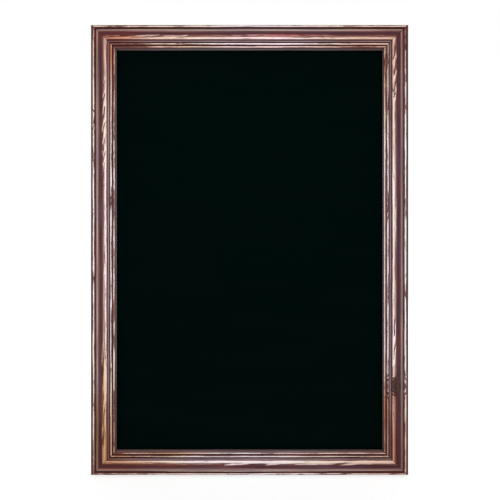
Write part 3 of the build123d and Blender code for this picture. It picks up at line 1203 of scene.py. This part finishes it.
@dataclass
class Timber:
    """The four mitred members of the frame."""

    moulding: Moulding
    finish: RubbedPine
    back_finish: BarePine
    step_along: float = 1.6
    relief: float = 0.25
    mitre_gap: float = 0.03
    # Where the carving starts and where it is full, from a mitre and from the top of the outer wall.
    mitre_clear: tuple[float, float] = (0.5, 4.0)
    lip_clear: tuple[float, float] = (0.5, 2.0)
    nail_slot: float = 1.0
    # How far the rubbing leans across each member, by side.
    rub_lean: tuple[float, ...] = (0.5, -0.6, 0.7, -0.2)
    stained_share: float = 0.6
    sharp: float = 50.0

    def section(self) -> bpy.types.Object:
        """The moulding's section as a closed curve, whose third coordinate is the unrolled place across.

        Returns:
            The curve.
        """
        points = reversed(self.moulding.outline())
        places = ((p.real, p.imag, self.moulding.unrolled(p)) for p in points)
        return drawn_curve("moulding_section", places, closed=True)

    def tree(self) -> Tree:
        """Tree that sweeps the section along a member, cuts the mitres and carves the rubbed grain.

        Returns:
            The tree.
        """
        tree, given = geometry_tree(
            "swept_moulding", Object=["Section"], Int=["Steps"], Collection=DRIVEN,
            Float=["Length", "Reach", "Drop", "Turn", "Grain start", "Rub lean", "Relief", "Mitre gap"],
            Material=["Stained", "Bare"])
        path = add(tree, "CurvePrimitiveLine", End=(1.0, 0.0, 0.0))
        path = add(tree, "ResampleCurve", path, Count=given["Steps"], mode="COUNT")
        bar, place, share = swept(tree, given["Section"], path)
        across, depth, unrolled = add(tree, "SeparateXYZ", place).node.outputs
        half = add(tree, "Math SUBTRACT", add(tree, "Math MULTIPLY", given["Length"], 0.5), across)
        short = add(tree, "Math SUBTRACT", half, given["Mitre gap"])
        along = add(tree, "Math MULTIPLY", add(tree, "Math MULTIPLY_ADD", share, 2.0, -1.0), short)
        forward = add(tree, "Math MULTIPLY", depth, -1.0)
        up = add(tree, "Math SUBTRACT", given["Reach"], across)
        bar = add(tree, "SetPosition", bar, Position=add(tree, "CombineXYZ", along, forward, up))
        wood = self.grain_place(tree, given, along, unrolled, depth)
        mitre = add(tree, "Math SUBTRACT", half, add(tree, "Math ABSOLUTE", along))
        fields = (
            ("wood", wood, "FLOAT_VECTOR", "POINT"), ("mitre", mitre, "FLOAT", "POINT"),
            ("stained", self.stained(tree, across, depth), "FLOAT", "FACE"))
        for name, value, kind, domain in fields:
            bar = add(
                tree, "StoreNamedAttribute", bar, Name=name, Value=value, data_type=kind, domain=domain)
        bar = add(tree, "SetPosition", bar, Offset=self.carving(tree, given, wood, mitre, depth))
        turn, drop = add(tree, "CombineXYZ", Y=given["Turn"]), add(tree, "CombineXYZ", Z=given["Drop"])
        nails, others = (self.cutters(tree, given[kind], drop, turn) for kind in DRIVEN)
        slots = add(tree, "Transform", nails, (0.0, self.nail_slot, 0.0))
        bar = add(
            tree, "MeshBoolean DIFFERENCE", Mesh_1=bar, Mesh_2=[nails, slots, others], solver="MANIFOLD")
        bar = smoothed(tree, self.regrained(tree, bar, given), self.sharp)
        finished = add(tree, "InputNamedAttribute", Name="stained", data_type="FLOAT")
        finished = add(tree, "Math GREATER_THAN", finished, self.stained_share)
        return end_tree(tree, bar, drop, turn, (given["Bare"], True), (given["Stained"], finished))

    def grain_place(
            self, tree: Tree, given: Inputs, along: Socket, across: Socket, depth: Socket) -> Socket:
        """Place in the long board that a member is cut from.

        Args:
            tree: the geometry tree.
            given: the tree's inputs.
            along: place along the member from its middle.
            across: place across its face.
            depth: place forwards from its back.

        Returns:
            The three together.
        """
        cut_from = add(tree, "Math ADD", along, given["Grain start"])
        toned = add(tree, "Math ADD", across, given["Rub lean"])
        return add(tree, "CombineXYZ", cut_from, toned, depth)

    def stained(self, tree: Tree, across: Socket, depth: Socket) -> Socket:
        """Tell the stained face and outer wall from the bare back.

        Args:
            tree: the geometry tree.
            across: place across the member's face.
            depth: place forwards from its back.

        Returns:
            1 where it is stained, and 0 where it is bare.
        """
        front = add(tree, "Math GREATER_THAN", depth, self.moulding.rebate_depth + self.moulding.ease / 2)
        outside = add(tree, "Math LESS_THAN", across, self.moulding.back_arris / 2)
        return add(tree, "Math MAXIMUM", front, outside)

    def carving(self, tree: Tree, given: Inputs, wood: Socket, mitre: Socket, depth: Socket) -> Socket:
        """Sink what kept its stain, clear of the mitres and of the outer wall.

        Args:
            tree: the geometry tree.
            given: the tree's inputs.
            wood: place along, across and through the timber.
            mitre: distance from the nearer mitre.
            depth: place forwards from the member's back.

        Returns:
            How far and which way each point sinks.
        """
        wear = self.finish.rub(tree, wood, mitre)
        kept = add(tree, "Math SUBTRACT", wear.deep, wear.bare)
        kept = add(tree, "Math MULTIPLY_ADD", kept, 0.5, 0.5)
        carve = add(tree, "Math MULTIPLY", kept, wear.ragged, use_clamp=True)
        lip = (self.moulding.outer_wall + reach for reach in self.lip_clear)
        off_mitre = add(tree, "MapRange", mitre, *self.mitre_clear)
        off_wall = add(tree, "MapRange", depth, *lip)
        for limit in (off_mitre, off_wall, given["Relief"]):
            carve = add(tree, "Math MULTIPLY", carve, limit)
        inwards = add(tree, "VectorMath SCALE", add(tree, "InputNormal"), Scale=-1.0)
        return add(tree, "VectorMath SCALE", inwards, Scale=carve)

    def cutters(self, tree: Tree, pieces: Socket, drop: Socket, turn: Socket) -> Socket:
        """Bring driven pieces from their place in the board to the member's own millimetres.

        Args:
            tree: the geometry tree.
            pieces: the collection of them.
            drop: where the member's origin goes in the board.
            turn: how the member is turned in the board.

        Returns:
            The pieces as closed meshes.
        """
        mesh = add(tree, "RealizeInstances", add(tree, "CollectionInfo", pieces))
        mesh = add(tree, "MergeByDistance", mesh, Distance=WELD * MM)
        lift, back = (add(tree, "VectorMath SCALE", way, Scale=-1.0) for way in (drop, turn))
        mesh = add(tree, "Transform", mesh, lift)
        return add(tree, "Transform", mesh, Rotation=back, Scale=(1 / MM, 1 / MM, 1 / MM))

    def regrained(self, tree: Tree, bar: Socket, given: Inputs) -> Socket:
        """Set the grain again on the bare back, where cuts have made new points.

        Args:
            tree: the geometry tree.
            bar: the member in its own millimetres.
            given: the tree's inputs.

        Returns:
            The member with its grain.
        """
        along, forward, up = add(tree, "SeparateXYZ", add(tree, "InputPosition")).node.outputs
        depth = add(tree, "Math MULTIPLY", forward, -1.0)
        across = add(tree, "Math SUBTRACT", given["Reach"], up)
        bare = add(tree, "Math SUBTRACT", 1.0, self.stained(tree, across, depth))
        wood = self.grain_place(tree, given, along, across, depth)
        return add(
            tree, "StoreNamedAttribute", bar, bare, "wood", wood, data_type="FLOAT_VECTOR", domain="POINT")

    def driven_nodes(self, side: Side) -> list[str]:
        """Names of the nails, points and screws that go into a member.

        Args:
            side: the member's side.

        Returns:
            Names of their nodes.
        """
        corners = [f"{v}_{h}" for v in ("top", "bottom") for h in ("left", "right") if side.label in (v, h)]
        nodes = [f"v_nails_{corner}" for corner in corners] + [f"framer_points_{side.label}"]
        return nodes if side.level else [*nodes, f"hanger_screw_{side.label}"]

    def build(self) -> None:
        """Sweep the four members, cut what is driven into them, and set them in the frame."""
        section, tree = self.section(), self.tree()
        stained, bare = self.finish.material(), self.back_finish.material()
        low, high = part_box("rail_top")
        outer_width = (high.x - low.x) / MM
        stile_low, stile_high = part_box("stile_left")
        outer_height = (stile_high.z - stile_low.z) / MM
        for side in Side:
            long = outer_width if side.level else outer_height
            driven = {kind: bpy.data.collections.new(kind) for kind in DRIVEN}
            nails, others = driven.values()
            for node in self.driven_nodes(side):
                collection = nails if node.startswith("v_nails") else others
                collection.objects.link(frame["nodes"][node])
            piece = grown(f"moulded_{side.member}", tree, {
                "Section": section,
                "Length": long,
                "Reach": (outer_width + outer_height - long) / 2,
                "Drop": (stile_high.z + stile_low.z) / 2,
                "Turn": side.turn,
                "Steps": round(long / self.step_along),
                "Grain start": side.grain_start,
                "Rub lean": self.rub_lean[side.value],
                "Relief": self.relief,
                "Mitre gap": self.mitre_gap,
                "Stained": stained,
                "Bare": bare,
                **driven,
            })
            for collection in driven.values():
                bpy.data.collections.remove(collection)
            settle(piece, "stained_pine", side.member)


@dataclass
class FramerPoints:
    """Flat steel points, driven into the rebate's wall at even spaces, that keep the panel in."""

    finish: bpy.types.Material
    width: float = 6.0
    driven: float = 6.0
    free: float = 9.0
    clip: float = 1.5
    pitch: float = 120.0
    # Share of its size that a point keeps at both faces, and how far from mid-gauge it starts to lessen.
    edge: float = 0.985
    edge_start: float = 0.25
    layers: int = 4

    def section(self) -> bpy.types.Object:
        """One point from behind: its tip in the wood above the wall, and its clipped end on the panel.

        Returns:
            The curve.
        """
        half, blunt = self.width / 2, self.width / 2 - self.clip
        right = [(half, self.driven - half), (half, self.clip - self.free), (blunt, -self.free)]
        outline = [(0.0, self.driven), *right, *((-x, z) for x, z in reversed(right))]
        return drawn_curve("framer_point", ((x, z, 0.0) for x, z in outline), closed=True)

    def tree(self) -> Tree:
        """Tree that stamps one point with eased edges and sets it at even spaces along a rebate.

        Returns:
            The tree.
        """
        tree, given = geometry_tree(
            "framer_point_row", Object=["Section"], Int=["Count"], Material=["Finish"],
            Float=["Pitch", "Wall", "Level", "Gauge", "Turn", "Drop"])
        path = add(tree, "CurvePrimitiveLine", End=(1.0, 0.0, 0.0))
        path = add(tree, "ResampleCurve", path, Count=self.layers, mode="COUNT")
        tab, place, share = swept(tree, given["Section"], path)
        ends = add(tree, "Math ABSOLUTE", add(tree, "Math SUBTRACT", share, 0.5))
        inset = add(tree, "MapRange", ends, self.edge_start, 0.5, 1.0, self.edge)
        flat = add(tree, "VectorMath SCALE", place, Scale=inset)
        across, up, _ = add(tree, "SeparateXYZ", flat).node.outputs
        eased = add(tree, "MapRange", share, **SMOOTH)
        depth = add(tree, "Math MULTIPLY_ADD", eased, given["Gauge"], given["Level"])
        up = add(tree, "Math ADD", up, given["Wall"])
        tab = add(tree, "SetPosition", tab, Position=add(tree, "CombineXYZ", across, depth, up))
        spaces = add(tree, "Math SUBTRACT", given["Count"], 1.0)
        start = add(tree, "Math MULTIPLY", add(tree, "Math MULTIPLY", spaces, -0.5), given["Pitch"])
        start, step = (add(tree, "CombineXYZ", along) for along in (start, given["Pitch"]))
        row = add(tree, "MeshLine", Count=given["Count"], Start_Location=start, Offset=step)
        tabs = add(tree, "RealizeInstances", add(tree, "InstanceOnPoints", row, Instance=tab))
        turn, drop = add(tree, "CombineXYZ", Y=given["Turn"]), add(tree, "CombineXYZ", Z=given["Drop"])
        return end_tree(tree, tabs, drop, turn, (given["Finish"], True))

    def build(self) -> None:
        """Set a row of points along each side."""
        section, tree = self.section(), self.tree()
        stile_low, stile_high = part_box("stile_left")
        middle = (stile_low.z + stile_high.z) / 2
        for side in Side:
            node = f"framer_points_{side.label}"
            low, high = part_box(node)
            size = (high - low) / MM
            reach = abs((high.z + low.z) / 2 - middle) if side.level else abs(high.x + low.x) / 2
            piece = grown(f"steel_{node}", tree, {
                "Section": section,
                "Count": round((max(size.x, size.z) - self.width) / self.pitch) + 1,
                "Pitch": self.pitch,
                "Wall": reach / MM + (self.free - self.driven) / 2,
                "Level": low.y / MM,
                "Gauge": size.y,
                "Turn": side.turn,
                "Drop": middle,
                "Finish": self.finish,
            })
            settle(piece, "zinc_plated_steel", node)


@dataclass
class HangerRings:
    """Loops of round wire that turn in the straps' knuckles."""

    finish: bpy.types.Material
    wire: float = 1.8
    bend: float = 1.8
    width: float = 16.0
    reach: float = 14.65
    butt_gap: float = 0.3
    rest_gap: float = 0.3
    sides: int = 24
    sharp: float = 50.0

    def corners(self) -> bpy.types.Object:
        """The wire's corners, from one butt end in the knuckle round to the other.

        Returns:
            The curve.
        """
        half, butt = self.width / 2, self.butt_gap / 2
        right = [(butt, 0.0, 0.0), (half, 0.0, 0.0), (half, 0.0, self.reach)]
        return drawn_curve("ring_wire", right + [(-x, y, z) for x, y, z in reversed(right)])

    def tree(self) -> Tree:
        """Tree that bends the wire at its corners and leans the loop on the stile.

        Returns:
            The tree.
        """
        tree, given = geometry_tree(
            "bent_ring", Object=["Corners"], Float=["Bend", "Wire", "Lean"], Vector=["Place"],
            Material=["Finish"])
        path = add(tree, "ObjectInfo", given["Corners"], out="Geometry")
        path = add(tree, "FilletCurve", path, Count=self.sides // 3, Radius=given["Bend"], mode="POLY")
        radius = add(tree, "Math MULTIPLY", given["Wire"], 0.5)
        wire = add(tree, "CurvePrimitiveCircle", Resolution=self.sides, Radius=radius)
        ring = smoothed(tree, add(tree, "CurveToMesh", path, wire, Fill_Caps=True), self.sharp)
        lean = add(tree, "CombineXYZ", given["Lean"])
        return end_tree(tree, ring, given["Place"], lean, (given["Finish"], True))

    def build(self) -> None:
        """Hang a ring on each hinge."""
        corners, tree = self.corners(), self.tree()
        for joint in frame["joints"]:
            body = joint["child"]
            place = Vector(joint["pos_m"])
            drop = place.y / MM - self.wire / 2 - self.rest_gap
            piece = grown(f"wire_{body}", tree, {
                "Corners": corners,
                "Bend": self.bend,
                "Wire": self.wire,
                "Lean": math.asin(drop / self.reach),
                "Place": place,
                "Finish": self.finish,
            })
            settle(piece, "brassed_steel", f"hanger_{body}", body=body)


@dataclass
class HangerScrews:
    """Wood screws of the straps: a domed head with a cross recess, a thread and a point."""

    finish: bpy.types.Material
    head_rim: float = 1.2
    head_height: float = 2.2
    shank: float = 3.5
    core: float = 2.5
    taper: float = 3.5
    pitch: float = 1.6
    recess_span: float = 3.8
    recess_slot: float = 0.8
    recess_depth: float = 1.2
    ease: float = 0.05
    step: float = 0.35
    sides: int = 48
    sharp: float = 35.0

    def section(self, head: float, tip: float, crown: float) -> bpy.types.Object:
        """Half section from the tip to the crown.

        Args:
            head: radius of the head.
            tip: level of the tip.
            crown: level of the head's crown.

        Returns:
            The half section as a curve.
        """
        seat = crown - self.head_height
        rim = seat + self.head_rim
        dome = (head ** 2 + (crown - rim) ** 2) / (2 * (crown - rim))
        lean = math.asin(head / dome) / 2
        shoulder = complex(dome * math.sin(lean), crown - dome * (1 - math.cos(lean)))
        runs = [
            (complex(self.core / 2, tip + self.taper),),
            (complex(self.core / 2, seat),),
            (complex(head, seat),),
            (complex(head, rim),),
            (shoulder, complex(0, crown)),
        ]
        start = complex(0, tip)
        points = [start, *traced(start, runs, self.step, self.ease), complex(0, crown)]
        return drawn_curve("screw_section", ((p.real, p.imag, 0.0) for p in points))

    def tree(self) -> Tree:
        """Tree that turns the screw, winds its thread and sinks its cross recess.

        Returns:
            The tree.
        """
        tree, given = geometry_tree(
            "turned_screw", Object=["Section"], Float=["Crown", "Thread foot", "Thread length"],
            Vector=["Place"], Material=["Finish"])
        screw = turned(tree, given["Section"], self.sides)
        rounds = add(tree, "Math DIVIDE", given["Thread length"], self.pitch)
        helix = add(
            tree, "CurveSpiral", Resolution=self.sides // 2, Rotations=rounds, Start_Radius=self.core / 2,
            End_Radius=self.core / 2, Height=given["Thread length"])
        helix = add(tree, "SetCurveNormal", helix, mode="Z_UP")
        ridge = add(tree, "CurvePrimitiveCircle", Resolution=3, Radius=(self.shank - self.core) / 2)
        thread = add(tree, "CurveToMesh", helix, ridge, Fill_Caps=True)
        foot = add(tree, "CombineXYZ", Y=given["Thread foot"])
        thread = add(tree, "Transform", thread, foot, (-math.pi / 2, 0.0, 0.0))
        screw = add(tree, "MeshBoolean UNION", Mesh=[screw, thread], solver="MANIFOLD")
        crown = add(tree, "CombineXYZ", Y=given["Crown"])
        slots = []
        for wide, high in ((self.recess_span, self.recess_slot), (self.recess_slot, self.recess_span)):
            slot = add(tree, "MeshCube", Size=(wide, 2 * self.recess_depth, high))
            slots.append(add(tree, "Transform", slot, crown))
        screw = add(tree, "MeshBoolean DIFFERENCE", Mesh_1=screw, Mesh_2=slots, solver="MANIFOLD")
        screw = smoothed(tree, screw, self.sharp)
        return end_tree(tree, screw, given["Place"], UNTURNED, (given["Finish"], True))

    def build(self) -> None:
        """Drive a screw through each strap."""
        tree = self.tree()
        for side in (Side.LEFT, Side.RIGHT):
            node = f"hanger_screw_{side.label}"
            low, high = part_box(node)
            middle = (low + high) / 2
            tip, crown = low.y / MM, high.y / MM
            piece = grown(f"turned_{node}", tree, {
                "Section": self.section((high.x - low.x) / 2 / MM, tip, crown),
                "Crown": crown,
                "Thread foot": tip + self.taper,
                "Thread length": crown - self.head_height - tip - self.taper - self.pitch,
                "Place": (middle.x, 0.0, middle.z),
                "Finish": self.finish,
            })
            settle(piece, "zinc_plated_steel", node)


@dataclass
class WallBumpers:
    """Round felt pads that keep the bottom rail off the wall, with loose fibres on them."""

    finish: bpy.types.Material
    edge: float = 0.5
    step: float = 0.3
    sides: int = 96
    sharp: float = 60.0
    dent: float = 0.18
    dent_size: float = 1.4
    fibres_per_area: float = 6.0
    fibre_reach: float = 0.45
    fibre_radius: float = 0.018
    fibre_tilt: float = 0.3
    seed: int = 11

    def section(self, radius: float, thickness: float) -> bpy.types.Object:
        """Half section of a pad from the wood outwards, with its outer edge eased.

        Args:
            radius: the pad's radius.
            thickness: the pad's thickness.

        Returns:
            The half section as a curve.
        """
        edge = self.edge
        corner = complex(radius - edge, thickness - edge) + edge * cmath.exp(1j * math.pi / 4)
        runs = [
            (complex(radius, 0),),
            (complex(radius, thickness - edge),),
            (corner, complex(radius - edge, thickness)),
            (complex(0, thickness),),
        ]
        points = [0j, *traced(0j, runs, self.step, self.edge / 10), complex(0, thickness)]
        return drawn_curve("bumper_section", ((p.real, p.imag, 0.0) for p in points))

    def tree(self) -> Tree:
        """Tree that turns the pad, dents it and sets short fibres on what shows.

        Returns:
            The tree.
        """
        tree, given = geometry_tree(
            "felt_pad", Object=["Section"], Float=["Dent", "Fibres"], Int=["Seed"], Vector=["Place"],
            Material=["Finish"])
        pad = turned(tree, given["Section"], self.sides)
        sink = add(tree, "TexNoise", Scale=1 / self.dent_size, Detail=3.0)
        height = add(tree, "SeparateXYZ", add(tree, "InputPosition"), out="Y")
        for share in (given["Dent"], add(tree, "MapRange", height, 0.0, self.edge), -1.0):
            sink = add(tree, "Math MULTIPLY", sink, share)
        offset = add(tree, "VectorMath SCALE", add(tree, "InputNormal"), Scale=sink)
        pad = smoothed(tree, add(tree, "SetPosition", pad, Offset=offset), self.sharp)
        spread = add(
            tree, "DistributePointsOnFaces", pad, add(tree, "Math GREATER_THAN", height, self.edge),
            Density=given["Fibres"], Seed=given["Seed"]).node.outputs
        long, tilt = self.fibre_reach, self.fibre_tilt
        fibre = add(
            tree, "CurveQuadraticBezier", Resolution=4, Start=(0.0, 0.0, 0.0), Middle=(long, 0.0, long / 2),
            End=(2 * long, long, 0.0))
        thread = add(tree, "CurvePrimitiveCircle", Resolution=3, Radius=self.fibre_radius)
        fibre = add(tree, "CurveToMesh", fibre, thread, Fill_Caps=True)
        spin = add(
            tree, "RandomValue", Min=(-tilt, -tilt, 0.0), Max=(tilt, tilt, math.tau), Seed=given["Seed"],
            data_type="FLOAT_VECTOR")
        spun = add(
            tree, "RotateRotation", Rotation=spread["Rotation"], Rotate_By=spin, rotation_space="LOCAL")
        fuzz = add(tree, "InstanceOnPoints", spread["Points"], Instance=fibre, Rotation=spun)
        pad = add(tree, "RealizeInstances", add(tree, "JoinGeometry", [pad, fuzz]))
        return end_tree(tree, pad, given["Place"], UNTURNED, (given["Finish"], True))

    def build(self) -> None:
        """Stick a pad at each end of the bottom rail."""
        tree = self.tree()
        for count, side in enumerate((Side.LEFT, Side.RIGHT)):
            node = f"wall_bumper_{side.label}"
            low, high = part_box(node)
            middle = (low + high) / 2
            piece = grown(f"felt_{node}", tree, {
                "Section": self.section((high.x - low.x) / 2 / MM, (high.y - low.y) / MM),
                "Dent": self.dent,
                "Fibres": self.fibres_per_area,
                "Seed": self.seed + count,
                "Place": (middle.x, low.y, middle.z),
                "Finish": self.finish,
            })
            settle(piece, "felt", node)


@dataclass(frozen=True)
class Softbox:
    """A square lamp: its place from the board's middle and its side in metres, and its power in watts."""

    name: str
    place: Spot
    size: float
    power: float

    def hang(self) -> None:
        """Hang the lamp so that it looks at the board's middle."""
        data = bpy.data.lights.new(self.name, "AREA")
        data.size = self.size
        data.energy = self.power
        lamp = put(self.name, data)
        low, high = CAD_BOX
        away = Vector(self.place)
        lamp.location = (low + high) / 2 + away
        lamp.rotation_euler = away.to_track_quat("Z", "Y").to_euler()


@dataclass(frozen=True)
class Studio:
    """Camera, soft frontal light, and a white floor that keeps the board's shadow."""

    view_distance: float = 790.0
    view_right: float = 0.6
    lens: float = 37.75
    sensor: float = 36.0
    world_level: float = 0.55
    floor_reach: float = 6000.0
    floor_glow: float = 0.82
    floor_shade: float = 0.34
    floor_bounce: float = 0.8
    softboxes: tuple[Softbox, ...] = (
        Softbox("front_softbox", (0.0, -2.4, 0.2), size=1.3, power=34.0),
        Softbox("back_softbox", (0.6, 2.2, 1.2), size=1.6, power=26.0),
    )

    def camera(self) -> None:
        """Stand the camera straight in front of the writing face."""
        low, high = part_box("slate_face")
        data = bpy.data.cameras.new("front_camera")
        data.lens = self.lens
        data.sensor_width = self.sensor
        camera = put("front_camera", data)
        camera.location = (self.view_right * MM, low.y - self.view_distance * MM, (low.z + high.z) / 2)
        camera.rotation_euler = (math.pi / 2, 0.0, 0.0)
        bpy.context.scene.camera = camera

    def seen(self, tree: Tree) -> Socket:
        """1 for what the camera sees directly, in a gloss or through glass, and 0 for scattered light.

        Args:
            tree: the tree that reads it.

        Returns:
            The value.
        """
        rays = add(tree, "LightPath").node.outputs
        seen = add(tree, "Math MAXIMUM", rays["Is Camera Ray"], rays["Is Glossy Ray"])
        return add(tree, "Math MAXIMUM", seen, rays["Is Transmission Ray"])

    def world(self) -> None:
        """White surroundings, which light the board less than they show."""
        world = bpy.data.worlds.new("white_surroundings")
        tree = cleared(world)
        level = add(tree, "MapRange", self.seen(tree), 0.0, 1.0, self.world_level, 1.0)
        add(tree, "OutputWorld", add(tree, "Background", Color=WHITE, Strength=level))
        bpy.context.scene.world = world

    def floor(self) -> None:
        """White floor under the board's lower edge."""
        low, _ = CAD_BOX
        wide = self.floor_reach * MM
        corners = [(x, y, low.z) for x, y in ((-wide, -wide), (wide, -wide), (wide, wide), (-wide, wide))]
        mesh = bpy.data.meshes.new("studio_floor")
        mesh.from_pydata(corners, [], [(0, 1, 2, 3)])
        material = bpy.data.materials.new("white_paper_floor")
        tree = cleared(material)
        glow = add(tree, "Emission", Color=WHITE, Strength=self.floor_glow)
        greys = (self.floor_shade, self.floor_bounce)
        shade, plain = (add(tree, "BsdfDiffuse", Color=(grey, grey, grey, 1.0)) for grey in greys)
        shown = add(tree, "AddShader", glow, shade)
        add(tree, "OutputMaterial", add(tree, "MixShader", self.seen(tree), plain, shown))
        mesh.materials.append(material)
        put("studio_floor", mesh)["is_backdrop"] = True

    def build(self) -> None:
        """Set up the whole studio."""
        bpy.context.scene.view_settings.view_transform = "Standard"
        self.camera()
        self.world()
        self.floor()
        for softbox in self.softboxes:
            softbox.hang()


def dress(nodes: Iterable[str], material: bpy.types.Material) -> None:
    """Give CAD nodes whose shape is right a finish.

    Args:
        nodes: names of the nodes.
        material: the finish.
    """
    for name in nodes:
        for slot in frame["nodes"][name].material_slots:
            slot.material = material
        LOG.info("%s has %s", name, material.name)


def write_sizes() -> None:
    """Work out the CAD box and the visual model's box side by side, without keeping them."""
    boxes = {"cad": CAD_BOX, "visual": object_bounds()}
    {name: [list(corner) for corner in box] for name, box in boxes.items()}


def main() -> None:
    """Build every piece in order."""
    logging.basicConfig(level=logging.INFO, format="%(name)s: %(message)s")
    moulding = Moulding()
    metals = (
        PlatedSteel("brassed_steel", "#d2ad68", "#93713f", smooth=0.22, worn=0.45, cloud=5.0),
        PlatedSteel("zinc_plated_steel", "#a3a6aa", "#75787c", smooth=0.34, worn=0.55, cloud=4.0),
        PlatedSteel("plain_steel", "#87827c", "#5f564f", smooth=0.35, worn=0.7, cloud=2.0),
    )
    brass, zinc, steel = (metal.material() for metal in metals)
    Timber(moulding, RubbedPine(moulding), BarePine()).build()
    FramerPoints(zinc).build()
    HangerRings(brass).build()
    HangerScrews(zinc).build()
    WallBumpers(WoolFelt().material()).build()
    dress(["slate_face"], SlateLaminate().material())
    dress(["panel_core"], Hardboard().material())
    dress(["hanger_strap_left", "hanger_strap_right"], brass)
    dress([name for name in frame["nodes"] if name.startswith("v_nails")], steel)
    Studio().build()
    write_sizes()


if __name__ == "__main__":
    main()
